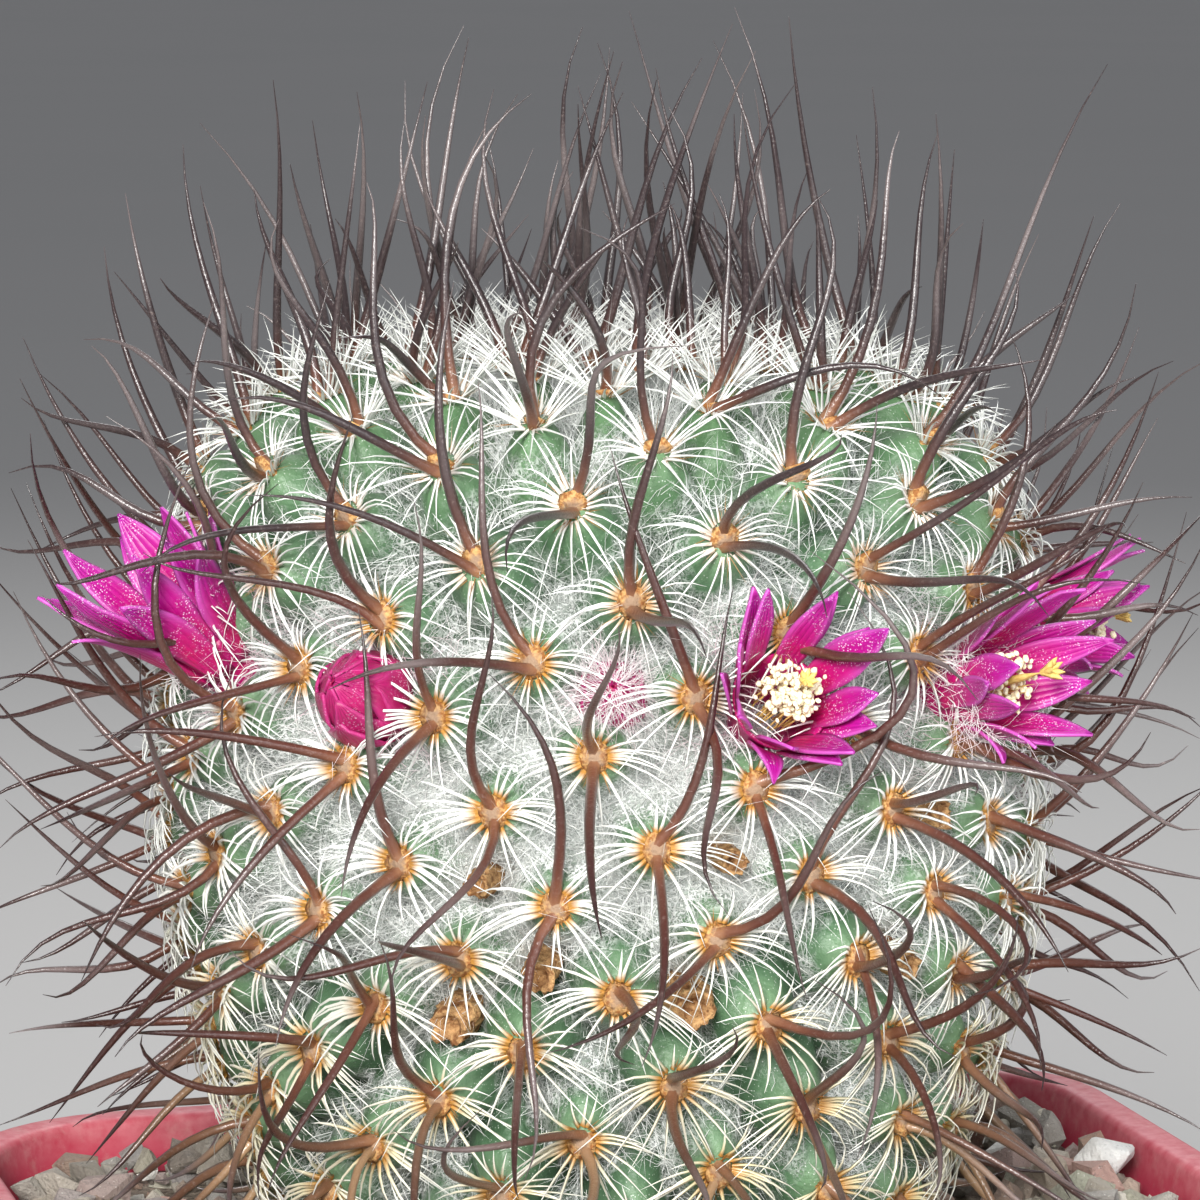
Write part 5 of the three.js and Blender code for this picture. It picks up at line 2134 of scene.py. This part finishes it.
def turned(stand: Stand, along: Sequence[float], radius: Sequence[float], sides: int) -> Array:
    """Turns a profile round a stand's axis, and gives its points ring by ring."""
    turn = 2 * math.pi * np.arange(sides) / sides
    return stand.points(np.asarray(along)[:, None], np.asarray(radius)[:, None], turn).reshape(-1, 3)


@dataclass
class Blade:
    """One petal's sizes: it runs between two distances along the flower's axis."""

    start: float
    end: float
    width: float
    flare: float
    foot_width: float = 0.62
    widest: float = 0.62
    inset: float = 0.0
    recurve: float = 0.0
    point: float = 1.7
    stations: int = 13
    columns: int = 7

    def sheet(self, stand: Stand, turn: float, twist: float) -> tuple[Array, Array, Array]:
        """Lays the petal out as a grid of points.

        Args:
            stand: The flower it grows from.
            turn: Its direction round the axis.
            twist: How far its tip swings sideways, in millimetres.

        Returns:
            The points, and how far along and how far across each lies.
        """
        s = np.linspace(0, 1, self.stations)[:, None]
        w = np.linspace(-1, 1, self.columns)
        rise = self.foot_width + (1 - self.foot_width) * smoothstep(s, 0, self.widest)
        fall = 1 - (np.maximum(s - self.widest, 0) / (1 - self.widest)) ** self.point
        sideways = self.width / 2 * rise * np.maximum(fall, 0.05) * w
        along = self.start + (self.end - self.start) * s - self.recurve * s**5
        radius = stand.radius(along) - self.inset + self.flare * s**2 + self.recurve * s**4
        channel = sideways**2 / (2 * np.maximum(radius, 2.2)) * (1 - 0.5 * s)
        around = np.cross(stand.axis, stand.outward(turn))
        points = stand.points(along, radius - channel, turn) + (sideways + twist * s**2)[..., None] * around
        return points.reshape(-1, 3), *(np.broadcast_to(v, sideways.shape).ravel() for v in (s, np.abs(w)))


class Sheets:
    """The thin sheets of a flower or a bud, gathered into one mesh."""

    def __init__(self, stand: Stand) -> None:
        """Starts without any.

        Args:
            stand: The flower or the bud.
        """
        self.stand = stand
        self.rows: list[tuple[Array, Array, Array]] = []
        self.faces: list[tuple[int, ...]] = []

    def add(self, rows: int, closed: bool, points: Array, along: Array, across: Array) -> None:
        """Adds a grid of points, with how far along and across its colours each lies.

        Args:
            rows: The rows of points.
            closed: Whether each row closes on itself.
            points: The points, row by row.
            along: How far along each lies.
            across: How far across each lies.
        """
        first = sum(len(row[0]) for row in self.rows)
        self.faces += grid_faces(rows, len(points) // rows, first, closed)
        self.rows.append((points, along, across))

    def add_blade(self, blade: Blade, turn: float, twist: float, ends: tuple[float, float]) -> None:
        """Adds a petal or a scale, given where its colours start and end."""
        points, s, w = blade.sheet(self.stand, turn, twist)
        self.add(blade.stations, False, points, ends[0] + (ends[1] - ends[0]) * s, w)

    def add_tube(self, along: Array, radius: Array, sides: int, colours: Array) -> None:
        """Adds a tube round the axis."""
        points = turned(self.stand, along, radius, sides)
        self.add(len(along), True, points, np.repeat(colours, sides), np.zeros(len(points)))

    def build(self, part: str, thickness: float, slot: Slot, material: Material) -> Piece:
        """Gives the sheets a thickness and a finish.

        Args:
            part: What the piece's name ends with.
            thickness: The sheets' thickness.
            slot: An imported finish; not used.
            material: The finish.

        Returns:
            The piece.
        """
        points, along, across = (np.concatenate(column) for column in zip(*self.rows))
        sheets = mesh_object(self.stand.name + "_sheets", points, self.faces)
        store(sheets.data, "t", along)
        store(sheets.data, "across", across)
        thick = sheets.modifiers.new("thickness", "SOLIDIFY")
        thick.thickness = thickness * MM
        thick.offset = 0
        made = finished(sheets, self.stand.name + part, ("t", "across"))
        return dress(made, [self.stand.name], material)


@dataclass
class Bloom:
    """An open flower: a tube, petals in turns, and a pale brush of stamens round the stigma."""

    stand: Stand
    tube_end: float = 6.8
    petal_thickness: float = 0.2
    stamens: int = 50
    anthers: int = 260
    anther: tuple[float, float, float] = (0.27, 0.19, 0.19)
    filament: float = 0.14
    filament_foot: float = 5.2
    filament_tip: float = 9.9
    clump: float = 1.7
    stigma: float = 1.0
    style: float = 0.55
    style_foot: float = 5.0
    lobes: int = 7
    lobe: float = 0.46
    reach: float = 0.0
    breadth: float = 1.0
    lean: float = 1.4
    petal_seed: int = 100
    stamen_seed: int = 300

    def build_petals(self, material: Material) -> Piece:
        """Builds the petals, outer ones first, and the tube as one piece.

        Args:
            material: The petals' finish.

        Returns:
            The piece.
        """
        rng = np.random.default_rng(self.petal_seed + self.stand.above)
        sheets = Sheets(self.stand)
        length = self.stand.length
        turns = ((7, length - 1.2, 2.35, 0.9, 0.0, 0.9), (8, length + 0.3, 2.45, 0.1, 0.4, 0.6))
        for whorl, (count, end, width, flare, inset, recurve) in enumerate(turns):
            for i in range(count):
                turn = 2 * math.pi * (i + 0.5 * whorl + rng.uniform(-0.16, 0.16)) / count
                tip = end + self.reach + self.lean * math.sin(turn) + rng.uniform(-1.1, 0.4)
                broad = width * self.breadth * rng.uniform(0.8, 1.1)
                blade = Blade(
                    self.tube_end - 2.4, tip, broad, flare + rng.uniform(-0.7, 0.5), inset=inset,
                    widest=rng.uniform(0.45, 0.6), recurve=recurve * rng.uniform(0.0, 1.5))
                sheets.add_blade(blade, turn, rng.uniform(-1.2, 1.2), (0.25, 1.0))
        along = np.linspace(1.5, self.tube_end, 7)
        sheets.add_tube(along, self.stand.radius(along) - 0.3, 28, np.linspace(0, 0.4, 7))
        return sheets.build("_petals", self.petal_thickness, Slot.PETALS, material)

    def build_stamens(self, hair_tree: GrowthTree, scatter_tree: GrowthTree, filament: Material,
                      pollen: Material) -> Piece:
        """Builds filaments, anthers, style and stigma as one piece.

        Args:
            hair_tree: The hair tree.
            scatter_tree: The scatter tree.
            filament: The threads' finish.
            pollen: The anthers' finish.

        Returns:
            The piece.
        """
        rng = np.random.default_rng(self.stamen_seed + self.stand.above)
        stand = self.stand
        turn = rng.uniform(0, 2 * math.pi, self.stamens)
        share = np.sqrt(rng.uniform(0.1, 1, self.stamens))
        foot = stand.points(self.filament_foot, 1.7 * share, turn)
        height = self.filament_tip - 1.3 * share + rng.uniform(-1.1, 0.5, self.stamens)
        tip = stand.points(height, self.clump * share, turn)
        tip = tip + rng.normal(size=tip.shape) * 0.15
        hairs = Hairs()
        hairs.add(foot, tip - foot, 0.0, rng.normal(size=tip.shape) * 0.8, self.filament, 0.0)
        style_foot = (stand.foot + self.style_foot * stand.axis)[None]
        style = (5.2 + 0.6 * self.stigma) * stand.axis
        hairs.add(style_foot, style, 0.0, 0.0, self.style, 1.0)
        lobe_way = stand.outward(2 * math.pi * np.arange(self.lobes) / self.lobes)
        lobe_foot = np.repeat(style_foot + style, self.lobes, axis=0)
        lobe_reach = (stand.axis + lobe_way * 0.35) * self.stigma
        hairs.add(lobe_foot, lobe_reach, lobe_way * 0.3, 0.0, self.lobe, 1.0)
        stalks = hairs.grow(stand.name + "_stalks", hair_tree, filament, 4, 4, taper=8.0)
        chosen = rng.integers(0, self.stamens, self.anthers)
        spots = tip[chosen] + rng.normal(size=(self.anthers, 3)) * 0.3
        turns = rng.uniform(-3, 3, spots.shape)
        sizes = np.array(self.anther) * rng.uniform(0.7, 1.3, (self.anthers, 1)) * MM
        anthers = scatter(scatter_tree, stand.name + "_anthers", [coarse_ball("anther")], pollen, (),
                          spots, turn=turns, size=sizes)
        brush = join(stand.name + "_brush", [stalks, anthers])
        return dress(brush, [stand.name + "_stamens"])


@dataclass
class Bud:
    """A closed bud: pointed scales folded over each other round a core."""

    stand: Stand
    thickness: float = 0.22
    full_length: float = 9.2
    seed: int = 500

    def build(self, material: Material) -> Piece:
        """Builds the bud.

        Args:
            material: The bud's finish.

        Returns:
            The piece.
        """
        rng = np.random.default_rng(self.seed + self.stand.above)
        sheets = Sheets(self.stand)
        length = self.stand.length
        narrowing = 0.4 + 0.6 * length / self.full_length
        turns = ((4, 0.80, -0.12, 4.4), (5, 0.93, 0.05, 3.9), (5, 1.0, 0.2, 3.4))
        for whorl, (count, end, inset, width) in enumerate(turns):
            for i in range(count):
                turn = 2 * math.pi * (i + 0.5 * whorl + rng.uniform(-0.12, 0.12)) / count
                blade = Blade(0.22 * length, end * length, width * narrowing, rng.uniform(-0.1, 0.2),
                              foot_width=0.8, widest=0.4, inset=inset, point=1.9)
                sheets.add_blade(blade, turn, rng.uniform(-0.3, 0.3), (0.35, 0.75))
        along = np.linspace(0.1 * length, 0.97 * length, 12)
        sheets.add_tube(along, np.maximum(self.stand.radius(along) - 0.45, 0.12), 20, np.full(12, 0.4))
        return sheets.build("_scales", self.thickness, Slot.BUD, material)


@dataclass
class DriedRemain:
    """The crumpled tan crumb that an old flower leaves in its axil.

    Its wall is given by distances along the axis, and its sunken top by depths below the end, each with
    its share of the widest radius.
    """

    stand: Stand
    sides: int = 40
    widest: float = 3.6
    wall: tuple[float, ...] = (0.2, 0.9, 1.6, 2.3, 3.0, 3.5, 3.9, 4.3)
    sunken_top: Profile = ((0.15, 0.84), (0.15, 0.74), (0.15, 0.64), (0.45, 0.52), (0.9, 0.36), (1.2, 0.2))

    def build(self, material: Material) -> Piece:
        """Builds the crumb: a squat knob with a sunken, frayed top.

        Args:
            material: The crumb's finish.

        Returns:
            The piece.
        """
        stand = self.stand
        wide = float(stand.radius(self.widest))
        outline = [(along, float(stand.radius(along))) for along in self.wall]
        outline += [(stand.length - depth, wide * share) for depth, share in self.sunken_top]
        outline += [(stand.length - 1.3, 0.1)]
        points = turned(stand, *zip(*outline), self.sides)
        along, away = stand.measure(points)
        crumple = np.array([fractal(Vector(p) * 1.1, 0.7, 2.2, 4) for p in points])
        shrunk = 1 - 0.16 * smoothstep(along, 2.0, 3.4)
        lifted = along + 0.5 * crumple * smoothstep(along, 2.4, 4.0)
        points = stand.foot + lifted[:, None] * stand.axis + away * (shrunk + 0.2 * crumple)[:, None]
        faces = grid_faces(len(outline), self.sides) + end_faces(len(outline), self.sides)
        crumb = mesh_object(stand.name + "_crumb", points, faces)
        face_outwards(crumb)
        return dress(crumb, [stand.name], material)


# The studio


def towards(bearing: float, elevation: float) -> Vector:
    """The direction at a bearing, 0 in front and growing to the right, and an elevation."""
    level = math.cos(elevation)
    return Vector((math.sin(bearing) * level, -math.cos(bearing) * level, math.sin(elevation)))


def aim(name: str, data: bpy.types.ID, spot: Vector, way: Vector) -> Piece:
    """Puts a camera or a light at a spot in millimetres, looking one way.

    Args:
        name: Its name.
        data: The camera or the light.
        spot: Where it stands.
        way: The direction it looks in.

    Returns:
        The object.
    """
    made = linked(name, data)
    made.location = spot * MM
    made.rotation_mode = "QUATERNION"
    made.rotation_quaternion = way.to_track_quat("-Z", "Y")
    return made


@dataclass(frozen=True)
class Studio:
    """Pale floor, soft lights and the camera of the photograph."""

    spiral: Spiral
    sensor: float = 36.0
    frame_pixels: float = 1200.0
    focal_pixels: float = 5219.0
    distance: float = 363.0
    bearing: float = math.radians(-16)
    elevation: float = math.radians(10.3)
    centre_below_middle: float = 206.6
    floor_half: float = 12000.0
    floor_gap: float = 0.05

    def add_camera(self) -> None:
        """Sets the camera where the photograph was taken from."""
        spot = Vector(self.spiral.centre) + self.distance * towards(self.bearing, self.elevation)
        tip_up = math.atan(self.centre_below_middle / self.focal_pixels)
        data = bpy.data.cameras.new("photo_view")
        data.sensor_width = self.sensor
        data.lens = self.sensor * self.focal_pixels / self.frame_pixels
        data.clip_start = 0.02
        data.clip_end = 60.0
        looking = -towards(self.bearing, self.elevation - tip_up)
        bpy.context.scene.camera = aim("photo_view", data, spot, looking)

    def add_floor(self) -> None:
        """Lays the pale floor."""
        corners = np.array([(-1, -1, 0), (1, -1, 0), (1, 1, 0), (-1, 1, 0)]) * self.floor_half
        floor = mesh_object("floor", corners, [(0, 1, 2, 3)])
        floor.location.z = -self.floor_gap * MM
        shade = Shade("pale_floor", 0.8, 0.2)
        shade.set("Base Color", shade.coats((0.50, 0.50, 0.49), (shade.noise(3, 2), (0.53, 0.52, 0.51))))
        paint(floor, shade.material)

    def add_light(self, name: str, bearing: float, elevation: float, distance: float, size: float,
                  power: float, colour: Colour = (1.0, 1.0, 1.0)) -> None:
        """Hangs one soft light that looks at the plant.

        Args:
            name: The light's name.
            bearing: Degrees round the plant, 0 in front and 90 to the right.
            elevation: Degrees above the horizon.
            distance: Millimetres from the plant.
            size: Its side, in millimetres.
            power: Its power, in watts.
            colour: Its colour.
        """
        data = bpy.data.lights.new(name, "AREA")
        data.size = size * MM
        data.energy = power
        data.color = colour
        away = towards(math.radians(bearing), math.radians(elevation))
        aim(name, data, Vector(self.spiral.centre) + away * distance, -away)

    def build(self) -> None:
        """Sets up the studio."""
        self.add_camera()
        self.add_floor()
        self.add_light("key", -24, 22, 700, 180, 8.6, (1.0, 0.98, 0.96))
        self.add_light("fill", 30, 12, 800, 500, 3.0, (0.95, 0.97, 1.0))
        self.add_light("back", 160, 40, 800, 400, 3.0)
        world = bpy.data.worlds.new("studio")
        world.use_nodes = True
        background = world.node_tree.nodes["Background"]
        background.inputs["Color"].default_value = (0.92, 0.94, 1.0, 1.0)
        background.inputs["Strength"].default_value = 0.3
        bpy.context.scene.world = world


def dress_soil(material: Material) -> None:
    """Gives the packed soil its material."""
    paint(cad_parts["soil"], material)
    LOG.info("soil: finish only")


def main() -> None:
    """Builds every piece in order."""
    logging.basicConfig(level=logging.INFO, format="%(name)s: %(message)s")
    bpy.context.scene.view_settings.view_transform = "Standard"
    spiral = Spiral()
    blooming = Blooming(spiral)
    flowers = blooming.flowers()
    buds = blooming.buds()
    remains = blooming.remains()
    hair_tree = make_hair_tree()
    scatter_tree = make_scatter_tree()

    pot = Pot()
    pot.build(PlasticFinish().build())
    gravel = Gravel(pot, spiral)
    gravel.build_stones(scatter_tree, StoneFinish().build())
    gravel.build_bed(GrainFinish("grit", (0.34, 0.28, 0.22), (0.10, 0.08, 0.06), 1400, 0.5).build())
    soil = GrainFinish("potting_soil", (0.085, 0.05, 0.03), (0.018, 0.012, 0.008), 900, 0.6, 0.95)
    dress_soil(soil.build())

    stem = Stem(spiral)
    stem.build_skin(SkinFinish().build())
    stem.build_felt(scatter_tree, CushionFinish().build())
    spines = Spines(spiral, [*flowers, *buds, *remains], gravel.top)
    spines.build_radials(hair_tree, BristleFinish().build())
    spines.build_centrals(hair_tree, SpineFinish().build())
    fuzz = HairFinish("areole_fuzz", (0.42, 0.19, 0.045), (0.74, 0.72, 0.66), 0.45, 0.9, 0.6, 0.3)
    spines.build_fuzz(hair_tree, fuzz.build())
    wool = Wool(stem, [*flowers, *buds])
    # The wool's pink second colour is painted light reflected from the flowers and buds.
    fleece = HairFinish("axil_wool", (0.90, 0.92, 0.90), (0.78, 0.42, 0.55)).build()
    wool.build(hair_tree, "crown_wool", spiral.youngest, -26, fleece)
    wool.build(hair_tree, "ring_wool", -25, 38, fleece)
    wool.build(hair_tree, "lower_wool", 39, 140, fleece)
    covers = [(stand, 0.42, 170) for stand in flowers] + [(stand, 0.55, 130) for stand in buds]
    covers[len(flowers) + 1] = (buds[1], 1.0, 800)
    covers[1] = (flowers[1], 0.6, 900)
    wool.build_veil(hair_tree, covers, fleece)

    petal = PetalFinish("petal").build()
    filament = GrainFinish("stigma", (0.80, 0.60, 0.20), (0.66, 0.44, 0.12), 2500, 0.05, 0.5).build()
    pollen = GrainFinish("pollen", (0.97, 0.92, 0.74), (0.88, 0.76, 0.46), 3500, 0.1, 0.8).build()
    blooms = [Bloom(stand) for stand in flowers]
    blooms[1] = Bloom(flowers[1], anthers=100, stigma=1.35)
    blooms[2] = Bloom(flowers[2], reach=1.6, breadth=1.3, lean=-1.2)
    for bloom in blooms:
        bloom.build_petals(petal)
        bloom.build_stamens(hair_tree, scatter_tree, filament, pollen)
    colours = (
        (0.38, 0.004, 0.12),
        (0.46, 0.04, 0.20),
        (0.36, 0.003, 0.07),
        (0.33, 0.004, 0.16),
        (0.2, 0.002, 0.05),
    )
    # The bud scales take weaker painted glints.
    scale = PetalFinish("bud_scale", *colours, painted_glint_share=0.3).build()
    for stand in buds:
        Bud(stand).build(scale)
    crumb = GrainFinish("dried_crumb", (0.60, 0.36, 0.16), (0.20, 0.085, 0.03), 1500, 0.5).build()
    for stand in remains:
        DriedRemain(stand).build(crumb)
    Studio(spiral).build()


if __name__ == "__main__":
    main()
